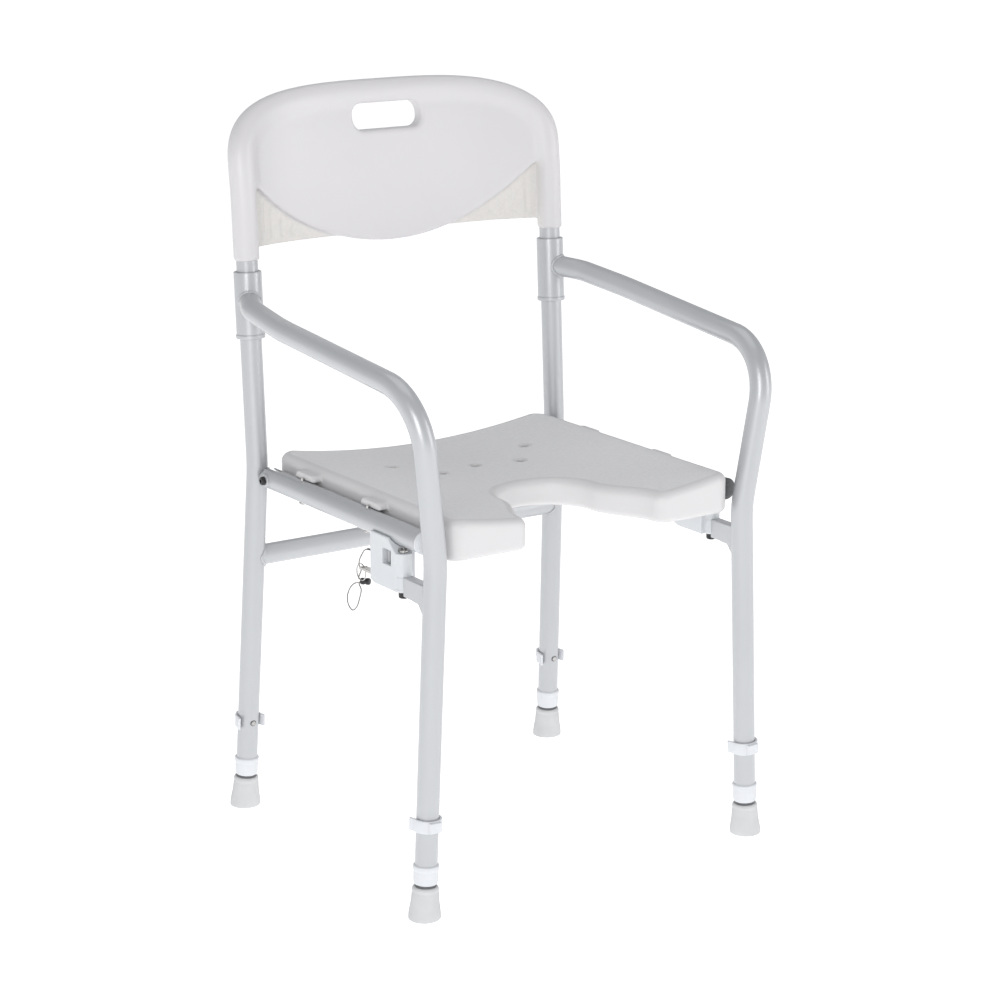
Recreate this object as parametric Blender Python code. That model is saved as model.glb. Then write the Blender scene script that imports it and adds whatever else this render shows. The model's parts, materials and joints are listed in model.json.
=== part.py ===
"""Folding shower chair with arms, backrest and horseshoe seat.

Metres, +Z up. The sitter faces -Y, +X is the sitter's left-hand side seen from the front.
Origin: middle of the footprint box, on the floor.
"""

import math

import bmesh
import bpy
import numpy as np
from mathutils import Matrix, Vector

for old in list(bpy.data.objects):
    bpy.data.objects.remove(old, do_unlink=True)

MM = 0.001
GAP = 0.3                      # running gap between touching pieces, mm

# ---- driving dimensions, mm; y is measured forward (negative) from the rear feet
Y_ORIGIN = 190.9                # shifts the rear-feet line so that the box is centred on the origin
TUBE_R = 12.7                  # 25.4 mm aluminium tube: uprights, arms, legs, rails, cross-bar
TUBE_WALL = 1.3
EXT_R = 11.0                   # telescopic inner leg
EXT_WALL = 1.2
SIDES = 16

REAR_FOOT = (224.8, 0.0, 0.0)
REAR_BEND = (213.0, -29.8, 430.0)
REAR_TOP = (213.4, -12.8, 752.0)
FRONT_FOOT = (225.8, -412.0, 0.0)
FRONT_BEND = (208.6, -412.6, 405.0)
ARM_FRONT = (233.1, -423.8, 588.2)
ARM_REAR = (239.2, -140.0, 615.3)
ARM_ROOT_BEND = (232.5, -62.0, 624.0)
ARM_ROOT = (213.5, -20.5, 628.0)

FOOT_H = 38.0
BUSH_Z = (41.0, 63.0)
CLIP_Z = 110.0
EXT_TOP = 285.0
COLLAR_Z = (583.0, 661.0)
COLLAR_R = 16.4

PIVOT_Y, RAIL_Z, RAIL_X = -57.0, 419.5, 206.0
RAIL_FRONT = -384.0
CROSSBAR_Z = 319.3

SEAT_HALF = 191.5
SEAT_REAR, SEAT_FRONT = -32.0, -416.0
SEAT_BOTTOM, SEAT_SIDE_TOP, SEAT_DISH = 400.5, 446.0, 14.5
CUT_HALF_FRONT, CUT_DEPTH, CUT_HALF = 88.0, 150.0, 58.0
TAB_Y = (-124.0, -269.0)
TAB_LEN = 42.0

SADDLE_X = (197.0, 222.5)
SADDLE_BOTTOM = 358.5
PIN_X, PIN_Z = 212.0, 364.3
BARREL_Y, BARREL_R = -353.0, 9.6

BACK_RIM_R = 15.0
BACK_BOTTOM = 674.0
BACK_HALF = 213.6              # centre line of the rim
BACK_TOP = 851.0               # centre line of the rim at the middle
BACK_WRAP = 28.0


# ---------------------------------------------------------------- materials
def material(name, colour, rough, metal=0.0):
    mat = bpy.data.materials.new(name)
    mat.use_nodes = True
    bsdf = mat.node_tree.nodes["Principled BSDF"]
    bsdf.inputs["Base Color"].default_value = (*colour, 1.0)
    bsdf.inputs["Roughness"].default_value = rough
    bsdf.inputs["Metallic"].default_value = metal
    mat.diffuse_color = (*colour, 1.0)
    return mat


M = {
    "tube": material("anodised_tube", (0.66, 0.68, 0.70), 0.38, 0.7),
    "white": material("white_polythene", (0.80, 0.79, 0.80), 0.45),
    "clip": material("light_grey_plastic", (0.70, 0.72, 0.73), 0.42),
    "foot": material("grey_rubber", (0.62, 0.63, 0.62), 0.7),
    "plug": material("dark_grey_plastic", (0.16, 0.17, 0.18), 0.5),
    "nut": material("black_nylon", (0.03, 0.03, 0.035), 0.45),
    "steel": material("bright_steel", (0.50, 0.49, 0.48), 0.3, 1.0),
    "cable": material("steel_cable", (0.40, 0.38, 0.37), 0.4, 1.0),
}


# ---------------------------------------------------------------- helpers
def P(x, y, z):
    return Vector((x, y + Y_ORIGIN, z))


def side(point, s):
    return P(point[0] * s, point[1], point[2])


def make(name, bm, mat, origin=None, parent=None, smooth=True):
    """Turns a bmesh in millimetres and world space into an object in metres with the given origin."""
    bmesh.ops.scale(bm, vec=(MM, MM, MM), verts=bm.verts)
    bmesh.ops.recalc_face_normals(bm, faces=bm.faces)
    mesh = bpy.data.meshes.new(name)
    bm.to_mesh(mesh)
    bm.free()
    if smooth:
        mesh.shade_smooth()
        mesh.set_sharp_from_angle(angle=math.radians(35))
    at = (origin or Vector((0, 0, 0))) * MM
    mesh.transform(Matrix.Translation(-at))
    obj = bpy.data.objects.new(name, mesh)
    bpy.context.collection.objects.link(obj)
    if mat is not None:
        mesh.materials.append(mat)
    obj.location = at
    if parent is not None:
        obj.parent = parent
        obj.location = at - parent.location
    return obj


def helper(name, bm):
    obj = make("cut_" + name, bm, None)
    obj.hide_render = True
    obj.display_type = "WIRE"
    return obj


def boolean(obj, cutter, operation="DIFFERENCE"):
    mod = obj.modifiers.new(cutter.name[:40], "BOOLEAN")
    mod.operation = operation
    mod.object = cutter
    return obj


def joint_empty(name, at):
    empty = bpy.data.objects.new(name, None)
    bpy.context.collection.objects.link(empty)
    empty.location = at * MM
    return empty


def rounded_path(points, radii, step=math.radians(9)):
    """A polyline through the corner points with each inner corner turned into an arc."""
    out = [points[0]]
    for i in range(1, len(points) - 1):
        a = (points[i - 1] - points[i]).normalized()
        b = (points[i + 1] - points[i]).normalized()
        theta = a.angle(b)
        r = radii[i - 1]
        t = r / math.tan(theta / 2)
        centre = points[i] + (a + b).normalized() * (r / math.sin(theta / 2))
        s, e = points[i] + a * t - centre, points[i] + b * t - centre
        ang = math.pi - theta
        n = max(1, round(ang / step))
        for k in range(n + 1):
            f = k / n
            out.append(centre + (s * math.sin((1 - f) * ang) + e * math.sin(f * ang)) / math.sin(ang))
    out.append(points[-1])
    return out


def frames(path, first=None):
    """Parallel-transported (u, v) pairs square to the path."""
    tangents = []
    for i in range(len(path)):
        a = path[max(i - 1, 0)]
        b = path[min(i + 1, len(path) - 1)]
        tangents.append((b - a).normalized())
    u = first or Vector((0, 1, 0))
    u = (u - tangents[0] * u.dot(tangents[0])).normalized()
    out = []
    for t in tangents:
        u = (u - t * u.dot(t)).normalized()
        out.append((u.copy(), t.cross(u)))
    return out


def sweep(path, r_out, r_in=None, sides=SIDES, first=None, bm=None):
    """A round bar along a path, or a tube when r_in is given; both ends are closed faces."""
    bm = bm or bmesh.new()
    fr = frames(path, first)

    def rings(r):
        out = []
        for p, (u, v) in zip(path, fr):
            ring = []
            for k in range(sides):
                a = 2 * math.pi * (k + 0.5) / sides
                ring.append(bm.verts.new(p + u * (r * math.cos(a)) + v * (r * math.sin(a))))
            out.append(ring)
        for lo, hi in zip(out[:-1], out[1:]):
            for k in range(sides):
                j = (k + 1) % sides
                bm.faces.new((lo[k], lo[j], hi[j], hi[k]))
        return out

    outer = rings(r_out)
    if r_in:
        inner = rings(r_in)
        for end in (0, -1):
            for k in range(sides):
                j = (k + 1) % sides
                bm.faces.new((outer[end][k], outer[end][j], inner[end][j], inner[end][k]))
    else:
        bm.faces.new(outer[0])
        bm.faces.new(outer[-1])
    return bm


def lathe(profile, base, axis, sides=SIDES, bm=None, first=None):
    """Turns a closed (radius, height) loop about the axis through base. Points at radius 0 are poles."""
    bm = bm or bmesh.new()
    axis = axis.normalized()
    u = first or Vector((0, 1, 0))
    if abs(axis.dot(u)) > 0.95:
        u = Vector((1, 0, 0))
    u = (u - axis * u.dot(axis)).normalized()
    v = axis.cross(u)
    rings = []
    for r, h in profile:
        c = base + axis * h
        if r < 1e-6:
            rings.append([bm.verts.new(c)])
        else:
            rings.append([
                bm.verts.new(c + u * (r * math.cos(2 * math.pi * (k + 0.5) / sides)) + v * (r * math.sin(2 * math.pi * (k + 0.5) / sides)))
                for k in range(sides)
            ])
    n = len(rings)
    for i in range(n):
        a, b = rings[i], rings[(i + 1) % n]
        if len(a) == 1 and len(b) == 1:
            continue
        for k in range(sides):
            j = (k + 1) % sides
            if len(a) == 1:
                bm.faces.new((a[0], b[j], b[k]))
            elif len(b) == 1:
                bm.faces.new((a[k], a[j], b[0]))
            else:
                bm.faces.new((a[k], a[j], b[j], b[k]))
    return bm


def prism(loop, lo, hi, plane="YZ", bm=None):
    """Extrudes a 2-D loop between lo and hi along the axis square to the plane."""
    bm = bm or bmesh.new()

    def at(a, b, c):
        if plane == "YZ":
            return P(c, a, b)
        if plane == "XZ":
            return P(a, c, b)
        return P(a, b, c)

    bottom = [bm.verts.new(at(a, b, lo)) for a, b in loop]
    top = [bm.verts.new(at(a, b, hi)) for a, b in loop]
    bm.faces.new(bottom)
    bm.faces.new(top)
    for i in range(len(loop)):
        j = (i + 1) % len(loop)
        bm.faces.new((bottom[i], bottom[j], top[j], top[i]))
    bmesh.ops.recalc_face_normals(bm, faces=bm.faces)
    return bm


def box(x0, x1, y0, y1, z0, z1, bm=None):
    return prism([(x0, y0), (x1, y0), (x1, y1), (x0, y1)], z0, z1, "XY", bm)


def rod(a, b, r, sides=12, bm=None):
    axis = b - a
    length = axis.length
    return lathe([(0, 0), (r, 0), (r, length), (0, length)], a, axis, sides, bm)


def arc(cx, cy, r, a0, a1, n):
    return [
        (cx + r * math.cos(math.radians(a0 + (a1 - a0) * k / n)), cy + r * math.sin(math.radians(a0 + (a1 - a0) * k / n)))
        for k in range(n + 1)
    ]


# ---------------------------------------------------------------- rear frame
def upright_line(s):
    foot, bend, top = side(REAR_FOOT, s), side(REAR_BEND, s), side(REAR_TOP, s)
    return foot, bend, top


def leg_axis(s, rear):
    a = side(REAR_FOOT if rear else FRONT_FOOT, s)
    b = side(REAR_BEND if rear else FRONT_BEND, s)
    return a, (b - a).normalized()


def on_leg(s, rear, z):
    a, d = leg_axis(s, rear)
    return a + d * (z / d.z)


def upright_at(s, z):
    foot, bend, top = upright_line(s)
    if z < bend.z:
        return foot.lerp(bend, z / bend.z)
    return bend.lerp(top, (z - bend.z) / (top.z - bend.z))


SIDE = (("left", -1), ("right", 1))
uprights = {}
for label, s in SIDE:
    foot, bend, top = upright_line(s)
    start = on_leg(s, True, BUSH_Z[1] + GAP)
    path = rounded_path([start, bend, top], [260.0], math.radians(2))
    uprights[s] = make("rear_upright_" + label, sweep(path, TUBE_R, TUBE_R - TUBE_WALL), M["tube"])

# cross-bar between the uprights, coped to them
bar_y = REAR_FOOT[1] + (REAR_BEND[1] - REAR_FOOT[1]) * CROSSBAR_Z / REAR_BEND[2]
crossbar = make(
    "rear_crossbar",
    sweep([P(-213, bar_y, CROSSBAR_Z), P(0, bar_y, CROSSBAR_Z), P(213, bar_y, CROSSBAR_Z)], TUBE_R - 0.4, TUBE_R - 0.4 - TUBE_WALL, first=Vector((0, 0, 1))),
    M["tube"],
)
for label, s in SIDE:
    a, d = leg_axis(s, True)
    c = on_leg(s, True, CROSSBAR_Z)
    boolean(crossbar, helper("cope_" + label, rod(c - d * 40, c + d * 40, TUBE_R + GAP, 16)))

# ---------------------------------------------------------------- side frames: arm and front leg in one bent tube
for label, s in SIDE:
    up_dir = (side(REAR_TOP, s) - side(REAR_BEND, s)).normalized()
    lo, hi = upright_at(s, COLLAR_Z[0]), upright_at(s, COLLAR_Z[1])
    length = (hi - lo).length
    inner = TUBE_R + GAP
    make(
        "arm_collar_" + label,
        lathe([(inner, 0), (COLLAR_R + 0.8, 0), (COLLAR_R + 0.8, 4), (COLLAR_R, 5.2), (COLLAR_R, length - 1), (COLLAR_R - 1, length), (inner, length)], lo, up_dir, 20),
        M["tube"],
    )
    end = on_leg(s, False, BUSH_Z[1] + GAP)
    pts = [side(q, s) for q in (ARM_ROOT, ARM_ROOT_BEND, ARM_REAR, ARM_FRONT, FRONT_BEND)] + [end]
    path = rounded_path(pts, [60.0, 260.0, 66.0, 168.0], math.radians(8))
    frame = make("side_frame_" + label, sweep(path, TUBE_R, TUBE_R - TUBE_WALL), M["tube"])
    mid = upright_at(s, 628)
    boolean(frame, helper("arm_cope_" + label, rod(mid - up_dir * 45, mid + up_dir * 45, COLLAR_R + GAP, 20)))

    # hole for the height pin, on the clip's side of each outer tube
    for rear, tube in ((True, uprights[s]), (False, frame)):
        c = on_leg(s, rear, CLIP_Z)
        out = Vector((0, 1 if rear else -1, 0))
        a, d = leg_axis(s, rear)
        out = (out - d * out.dot(d)).normalized()
        boolean(tube, helper(("rear" if rear else "front") + "_pin_hole_" + label, rod(c + out * 6, c + out * 20, 3.4, 10)))

# ---------------------------------------------------------------- telescopic feet
for label, s in SIDE:
    for rear in (True, False):
        tag = ("rear_" if rear else "front_") + label
        a, d = leg_axis(s, rear)
        k = 1 / d.z                       # length along the leg per unit of height
        base = a.copy()
        # bush at the mouth of the outer tube
        make(
            "leg_bush_" + tag,
            lathe([(EXT_R + GAP, BUSH_Z[0] * k), (13.4, BUSH_Z[0] * k), (13.9, (BUSH_Z[0] + 2) * k), (13.9, BUSH_Z[1] * k), (EXT_R + GAP, BUSH_Z[1] * k)], base, d, 16),
            M["clip"],
        )
        # inner tube
        make(
            "leg_extension_" + tag,
            lathe([(EXT_R - EXT_WALL, 7), (EXT_R, 7), (EXT_R, EXT_TOP * k), (EXT_R - EXT_WALL, EXT_TOP * k)], base, d, SIDES),
            M["tube"],
            origin=a,
        )
        # rubber tip: bell shape turned about the leg, cut flat at the floor
        bm = lathe(
            [(0, -6), (18.2, -6), (18.2, 3), (17.2, 8), (15.8, 14), (14.9, 26), (14.6, 34), (13.6, FOOT_H - 1), (12.8, FOOT_H), (EXT_R + GAP, FOOT_H), (EXT_R + GAP, 6.6), (0, 6.6)],
            base, d, 20,
        )
        bmesh.ops.recalc_face_normals(bm, faces=bm.faces)
        cut = bmesh.ops.bisect_plane(bm, geom=bm.verts[:] + bm.edges[:] + bm.faces[:], plane_co=(0, 0, 0), plane_no=(0, 0, -1), clear_outer=True)
        edges = [e for e in bm.edges if e.is_boundary]
        bmesh.ops.contextual_create(bm, geom=edges)
        make("foot_tip_" + tag, bm, M["foot"], origin=a)

        # height clip: a U that straddles the tube, its pin entering the hole
        c = on_leg(s, rear, CLIP_Z)
        out = Vector((0, 1 if rear else -1, 0))
        out = (out - d * out.dot(d)).normalized()
        across = d.cross(out)
        ri, ro, h = TUBE_R + 0.5, TUBE_R + 3.6, 7.0
        n = 10
        loop = [(-ri, -7.5), (-ro, -7.5)] + [(-ro * math.cos(math.pi * i / n), ro * math.sin(math.pi * i / n)) for i in range(n + 1)]
        loop += [(ro, -7.5), (ri, -7.5)] + [(ri * math.cos(math.pi * i / n), ri * math.sin(math.pi * i / n)) for i in range(n + 1)]
        bm = bmesh.new()
        rows = [[bm.verts.new(c + across * x + out * y + d * z) for x, y in loop] for z in (-h, h)]
        bm.faces.new(rows[0])
        bm.faces.new(rows[1])
        for i in range(len(loop)):
            j = (i + 1) % len(loop)
            bm.faces.new((rows[0][i], rows[0][j], rows[1][j], rows[1][i]))
        bmesh.ops.recalc_face_normals(bm, faces=bm.faces)
        clip = make("height_clip_" + tag, bm, M["clip"], origin=c)
        boolean(clip, helper("clip_pin_" + tag, rod(c + out * 11.75, c + out * (ro + 2.2), 2.9, 10)), "UNION")

# ---------------------------------------------------------------- seat and its two rails
fold = joint_empty("seat_fold_axis", P(0, PIVOT_Y, RAIL_Z))


def dish(x):
    """How far the seat's top lies below its side edges, at x."""
    f = min(1.0, abs(x) / 172.0)
    return SEAT_DISH * (1 - f * f)


def seat_outline(inset):
    """Plan of the seat, anticlockwise, shrunk by inset: rounded rear corners, square front lobes and a horseshoe cut-out."""
    w = SEAT_HALF - inset
    yr, yf = SEAT_REAR - inset, SEAT_FRONT + inset
    rr, rf = 24 - inset * 0.6, 20 - inset * 0.6
    pts = []
    pts += arc(w - rr, yr - rr, rr, 0, 90, 5)
    pts += arc(-w + rr, yr - rr, rr, 90, 180, 5)
    pts += arc(-w + rf, yf + rf, rf, 180, 270, 5)
    # cut-out: flared lips at the front, straight flanks, half-round back
    hf, hc = CUT_HALF_FRONT + inset, CUT_HALF + inset
    back = SEAT_FRONT + CUT_DEPTH + inset
    lip = 15 - inset * 0.5
    left = arc(-hf - lip, yf + lip, lip, 270, 352, 4)
    pts += left
    x0, y0 = left[-1]
    cy = back - hc
    n = 5
    for k in range(1, n):
        f = k / n
        e = f * f * (3 - 2 * f)
        pts.append((x0 + (-hc - x0) * e, y0 + (cy - y0) * f))
    half = arc(0, cy, hc, 180, 90, 6)
    pts += half
    mirror = [(-x, y) for x, y in reversed(pts[len(pts) - 7 - (n - 1) - len(left): -1])]
    pts += mirror
    pts += arc(w - rf, yf + rf, rf, 270, 360, 5)
    return pts


def layered(levels, outline):
    """Stacks inset outlines, each at its height, and closes top and bottom."""
    bm = bmesh.new()
    rows = []
    for inset, z in levels:
        rows.append([bm.verts.new(P(x, y, z)) for x, y in outline(inset)])
    for lo, hi in zip(rows[:-1], rows[1:]):
        for i in range(len(lo)):
            j = (i + 1) % len(lo)
            bm.faces.new((lo[i], lo[j], hi[j], hi[i]))
    bm.faces.new(rows[0])
    bm.faces.new(rows[-1])
    bmesh.ops.recalc_face_normals(bm, faces=bm.faces)
    return bm


bm = layered(
    [(7, SEAT_BOTTOM), (2, SEAT_BOTTOM + 2.4), (0, SEAT_BOTTOM + 7.5), (0, SEAT_SIDE_TOP - 9), (2.8, SEAT_SIDE_TOP - 3), (9.5, SEAT_SIDE_TOP)],
    seat_outline,
)
# drain holes, turned into the blank before the top is dished
for x in (-172, -140, -110, -82, -56, -28, 0, 28, 56, 82, 110, 140, 172):
    bmesh.ops.bisect_plane(bm, geom=bm.verts[:] + bm.edges[:] + bm.faces[:], dist=1e-4, plane_co=P(x, 0, 0), plane_no=(1, 0, 0))
low, high = SEAT_BOTTOM + 7.5, SEAT_SIDE_TOP
for v in bm.verts:
    f = min(1.0, max(0.0, (v.co.z - low) / (high - 9 - low)))
    v.co.z -= dish(v.co.x) * f
bmesh.ops.triangulate(bm, faces=[f for f in bm.faces if len(f.verts) > 4])
seat = make("seat_panel", bm, M["white"], origin=P(0, PIVOT_Y, RAIL_Z), parent=fold)
for i, (x, y) in enumerate(((0, -172), (-55, -186), (55, -186), (-94, -138), (94, -138))):
    boolean(seat, helper(f"drain_{i}", rod(P(x, y, SEAT_BOTTOM - 5), P(x, y, SEAT_SIDE_TOP + 5), 5.0, 10)))
for label, s in SIDE:
    for i, y in enumerate(TAB_Y):
        half = TAB_LEN / 2
        x0, x1 = sorted((s * (SEAT_HALF - 6), s * (RAIL_X + 7)))
        loop = [(y - half, RAIL_Z + TUBE_R + 0.2 + 0.3), (y + half, RAIL_Z + TUBE_R + 0.5), (y + half - 6, 440.5), (y - half + 6, 440.5)]
        boolean(seat, helper(f"tab_{label}_{i}", prism(loop, x0, x1)), "UNION")
        boolean(seat, helper(f"tab_hole_{label}_{i}", rod(P(s * RAIL_X, y, 420), P(s * RAIL_X, y, 438.6), 2.3, 8)))

for label, s in SIDE:
    rail = make(
        "seat_rail_" + label,
        sweep([P(s * RAIL_X, PIVOT_Y + TUBE_R, RAIL_Z), P(s * RAIL_X, RAIL_FRONT, RAIL_Z)], TUBE_R, TUBE_R - 1.8, first=Vector((0, 0, 1))),
        M["tube"], origin=P(0, PIVOT_Y, RAIL_Z), parent=fold,
    )
    # round the rear end about the pivot, slot it for the frame's lug and drill it
    outline = [(RAIL_FRONT - 10, RAIL_Z - 14), (PIVOT_Y - 1, RAIL_Z - 14)] + arc(PIVOT_Y, RAIL_Z, TUBE_R, -90, 90, 10) + [(PIVOT_Y - 1, RAIL_Z + 14), (RAIL_FRONT - 10, RAIL_Z + 14)]
    boolean(rail, helper("rail_end_" + label, prism(outline, s * RAIL_X - 16, s * RAIL_X + 16)), "INTERSECT")
    boolean(rail, helper("rail_slot_" + label, box(s * RAIL_X - 3.4, s * RAIL_X + 3.4, PIVOT_Y - 17, PIVOT_Y + 20, RAIL_Z - 20, RAIL_Z + 20)))
    boolean(rail, helper("rail_drill_" + label, rod(P(s * RAIL_X - 20, PIVOT_Y, RAIL_Z), P(s * RAIL_X + 20, PIVOT_Y, RAIL_Z), 3.4, 10)))
    for i, y in enumerate(TAB_Y):
        boolean(rail, helper(f"rail_screw_{label}_{i}", rod(P(s * RAIL_X, y, RAIL_Z - 20), P(s * RAIL_X, y, RAIL_Z + 20), 2.4, 8)))
        # screw from below, through the rail, up into the seat's tab
        make(
            f"seat_screw_{label}_{'rear' if i == 0 else 'front'}",
            lathe([(0, 0), (2.6, 0), (4.2, 1.4), (4.2, 2.6), (2.0, 2.6), (2.0, 31.6), (0, 31.6)], P(s * RAIL_X, y, RAIL_Z - TUBE_R - 2.9), Vector((0, 0, 1)), 8),
            M["steel"], origin=P(0, PIVOT_Y, RAIL_Z), parent=fold,
        )
    # ribbed plug closing the front end
    make(
        "rail_plug_" + label,
        lathe([(0, 0), (9.6, 0), (9.6, 20), (TUBE_R - 0.4, 20), (12.9, 20.8), (12.9, 22.6), (9.8, 25.2), (5, 26.4), (0, 26.6)], P(s * RAIL_X, RAIL_FRONT + 19.7, RAIL_Z), Vector((0, -1, 0)), 16),
        M["plug"], origin=P(0, PIVOT_Y, RAIL_Z), parent=fold,
    )
    # pivot: plate welded to the upright, between the slotted ends of the rail
    loop = [(PIVOT_Y + 30, RAIL_Z + 9.5)] + arc(PIVOT_Y, RAIL_Z, 9.5, 90, 270, 8) + [(PIVOT_Y + 30, RAIL_Z - 9.5)]
    lug = make("pivot_lug_" + label, prism(loop, s * RAIL_X - 2.4, s * RAIL_X + 2.4), M["tube"])
    boolean(lug, helper("lug_drill_" + label, rod(P(s * RAIL_X - 20, PIVOT_Y, RAIL_Z), P(s * RAIL_X + 20, PIVOT_Y, RAIL_Z), 3.4, 10)))
    c = upright_at(s, RAIL_Z)
    a, d = leg_axis(s, True)
    boolean(lug, helper("lug_cope_" + label, rod(c - d * 30, c + d * 30, TUBE_R + GAP, 16)))
    make(
        "pivot_bolt_" + label,
        lathe([(0, 0), (4.6, 0), (5.4, 0.8), (5.4, 3.2), (3.0, 3.2), (3.0, 29.6), (0, 29.6)], P(s * (RAIL_X + TUBE_R + 3.6), PIVOT_Y, RAIL_Z), Vector((-s, 0, 0)), 12),
        M["nut"], origin=P(0, PIVOT_Y, RAIL_Z), parent=fold,
    )

# tab under the left rail that the lock pin holds down
keeper_y = (-332.0, -328.0)
loop = [(-217, 356.8), (-215.4, 356.8), (-215.4, 368.2), (-208.6, 368.2), (-208.6, 356.8), (-207, 356.8), (-207, 412), (-217, 412)]
keeper = make("rail_keeper_left", prism(loop, *keeper_y, plane="XZ"), M["tube"], origin=P(0, PIVOT_Y, RAIL_Z), parent=fold)
boolean(keeper, helper("keeper_cope", rod(P(-RAIL_X, -300, RAIL_Z), P(-RAIL_X, -360, RAIL_Z), TUBE_R + GAP, 32)))

# ---------------------------------------------------------------- saddles that hold the rails' front ends
for label, s in SIDE:
    x0, x1 = sorted((s * SADDLE_X[0], s * SADDLE_X[1]))
    loop = [(-300, 361.5), (-308, SADDLE_BOTTOM), (BARREL_Y, SADDLE_BOTTOM), (BARREL_Y, 402), (-336, 416.5), (-300, 416.5)]
    saddle = make("rail_saddle_" + label, prism(loop, x0, x1), M["clip"])
    boolean(saddle, helper("barrel_" + label, rod(P(s * PIN_X, BARREL_Y, SADDLE_BOTTOM + 0.01), P(s * PIN_X, BARREL_Y, 402.3), BARREL_R, 16)), "UNION")
    boolean(saddle, helper("channel_" + label, rod(P(s * RAIL_X, -280, RAIL_Z), P(s * RAIL_X, -380, RAIL_Z), TUBE_R + 0.45, 24)))
    boolean(saddle, helper("window_" + label, box(s * 210 - 20, s * 210 + 20, -343.0, -325.0, 386.0, 403.0)))
    c0, c1 = sorted((s * 206.2, s * 218.0))
    boolean(saddle, helper("well_" + label, box(c0, c1, -339.0, -326.4, 340.0, 420.0)))
    boolean(saddle, helper("bolt_hole_" + label, rod(P(s * PIN_X, BARREL_Y, 340), P(s * PIN_X, BARREL_Y, 420), 3.4, 10)))
    boolean(saddle, helper("bolt_seat_" + label, rod(P(s * PIN_X, BARREL_Y, 402.3), P(s * PIN_X, BARREL_Y, 425), 5.8, 12)))
    # stub from the front leg to the barrel, with a weld foot under it
    w0, w1 = sorted((s * (PIN_X - 6.5), s * (PIN_X + 6.0)))
    loop = [(-352, 355.5), (-390, 354), (-402, 341), (-410, 341), (-410, 377), (-352, 377)]
    lug = make("leg_lug_" + label, prism(loop, w0, w1), M["tube"])
    boolean(lug, helper("lug_barrel_" + label, rod(P(s * PIN_X, BARREL_Y, 330), P(s * PIN_X, BARREL_Y, 400), BARREL_R + 0.35, 16)))
    a, d = leg_axis(s, False)
    c = on_leg(s, False, 360)
    boolean(lug, helper("lug_leg_" + label, rod(c - d * 40, c + d * 40, TUBE_R + GAP, 16)))
    make(
        "saddle_bolt_" + label,
        lathe([(0, 0), (3.0, 0), (3.0, 52), (5.0, 52), (5.0, 54.4), (3.6, 55.6), (0, 55.6)], P(s * PIN_X, BARREL_Y, 350.6), Vector((0, 0, 1)), 10),
        M["steel"],
    )
    make(
        "saddle_nut_" + label,
        lathe([(3.3, 0.6), (4.6, 0), (5.8, 1.4), (5.8, 7.6), (3.3, 7.6)], P(s * PIN_X, BARREL_Y, SADDLE_BOTTOM - 8.0), Vector((0, 0, 1)), 12),
        M["nut"],
    )
left_saddle = bpy.data.objects["rail_saddle_left"]
boolean(left_saddle, helper("pin_bore", rod(P(-PIN_X, -290, PIN_Z), P(-PIN_X, -344.5, PIN_Z), 3.35, 12)))

# ---------------------------------------------------------------- lock pin, split ring and lanyard, left side only
pin_axis = P(-PIN_X, -300, PIN_Z)
pin = make(
    "lock_pin",
    lathe([(0, -43.5), (1.6, -43.5), (3.0, -41), (3.0, 0.4), (5.2, 0.4), (5.6, 1.2), (5.6, 8.2), (5.0, 9.2), (3.2, 9.2), (3.2, 12.5), (0, 12.5)], pin_axis, Vector((0, 1, 0)), 12),
    M["steel"], origin=pin_axis,
)
EYE_Y = -270.5
boolean(pin, helper("pin_eye", box(-PIN_X - 4.6, -PIN_X + 4.6, -290, -266.0, PIN_Z - 1.2, PIN_Z + 1.2)), "UNION")
boolean(pin, helper("pin_eye_hole", rod(P(-PIN_X, EYE_Y, PIN_Z - 6), P(-PIN_X, EYE_Y, PIN_Z + 6), 2.7, 10)))
RING_R, WIRE_R = 9.6, 0.8
eye = P(-PIN_X, EYE_Y, PIN_Z)
ring_c = eye + Vector((0, 0.76, -0.65)) * RING_R
bm = bmesh.new()
rows = []
for k in range(20):
    a = 2 * math.pi * k / 20
    radial = Vector((0, math.cos(a), math.sin(a)))
    rows.append([bm.verts.new(ring_c + radial * (RING_R + WIRE_R * math.cos(b)) + Vector((1, 0, 0)) * (WIRE_R * math.sin(b))) for b in (2 * math.pi * j / 6 for j in range(6))])
for i in range(20):
    for j in range(6):
        bm.faces.new((rows[i][j], rows[i][(j + 1) % 6], rows[(i + 1) % 20][(j + 1) % 6], rows[(i + 1) % 20][j]))
make("pin_ring", bm, M["steel"], origin=pin_axis)

# crimp sleeve of the lanyard, just behind and below the ring
ferrule_c = P(-204.2, -259.0, 344.8)
ferrule_dir = Vector((-0.55, 0.83, -0.05)).normalized()
make("lanyard_ferrule", lathe([(0, -5.5), (3.4, -5.5), (3.9, -4.6), (3.9, 4.6), (3.4, 5.5), (0, 5.5)], ferrule_c, ferrule_dir, 10), M["nut"], origin=pin_axis)


def catmull(points, per):
    """Smooth curve through the route's own points."""
    pts = [points[0] * 2 - points[1]] + list(points) + [points[-1] * 2 - points[-2]]
    out = []
    for i in range(1, len(pts) - 2):
        p0, p1, p2, p3 = pts[i - 1:i + 3]
        for k in range(per):
            t = k / per
            out.append(0.5 * (2 * p1 + (p2 - p0) * t + (2 * p0 - 5 * p1 + 4 * p2 - p3) * t * t + (3 * p1 - p0 - 3 * p2 + p3) * t ** 3))
    out.append(pts[-2])
    return out


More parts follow.
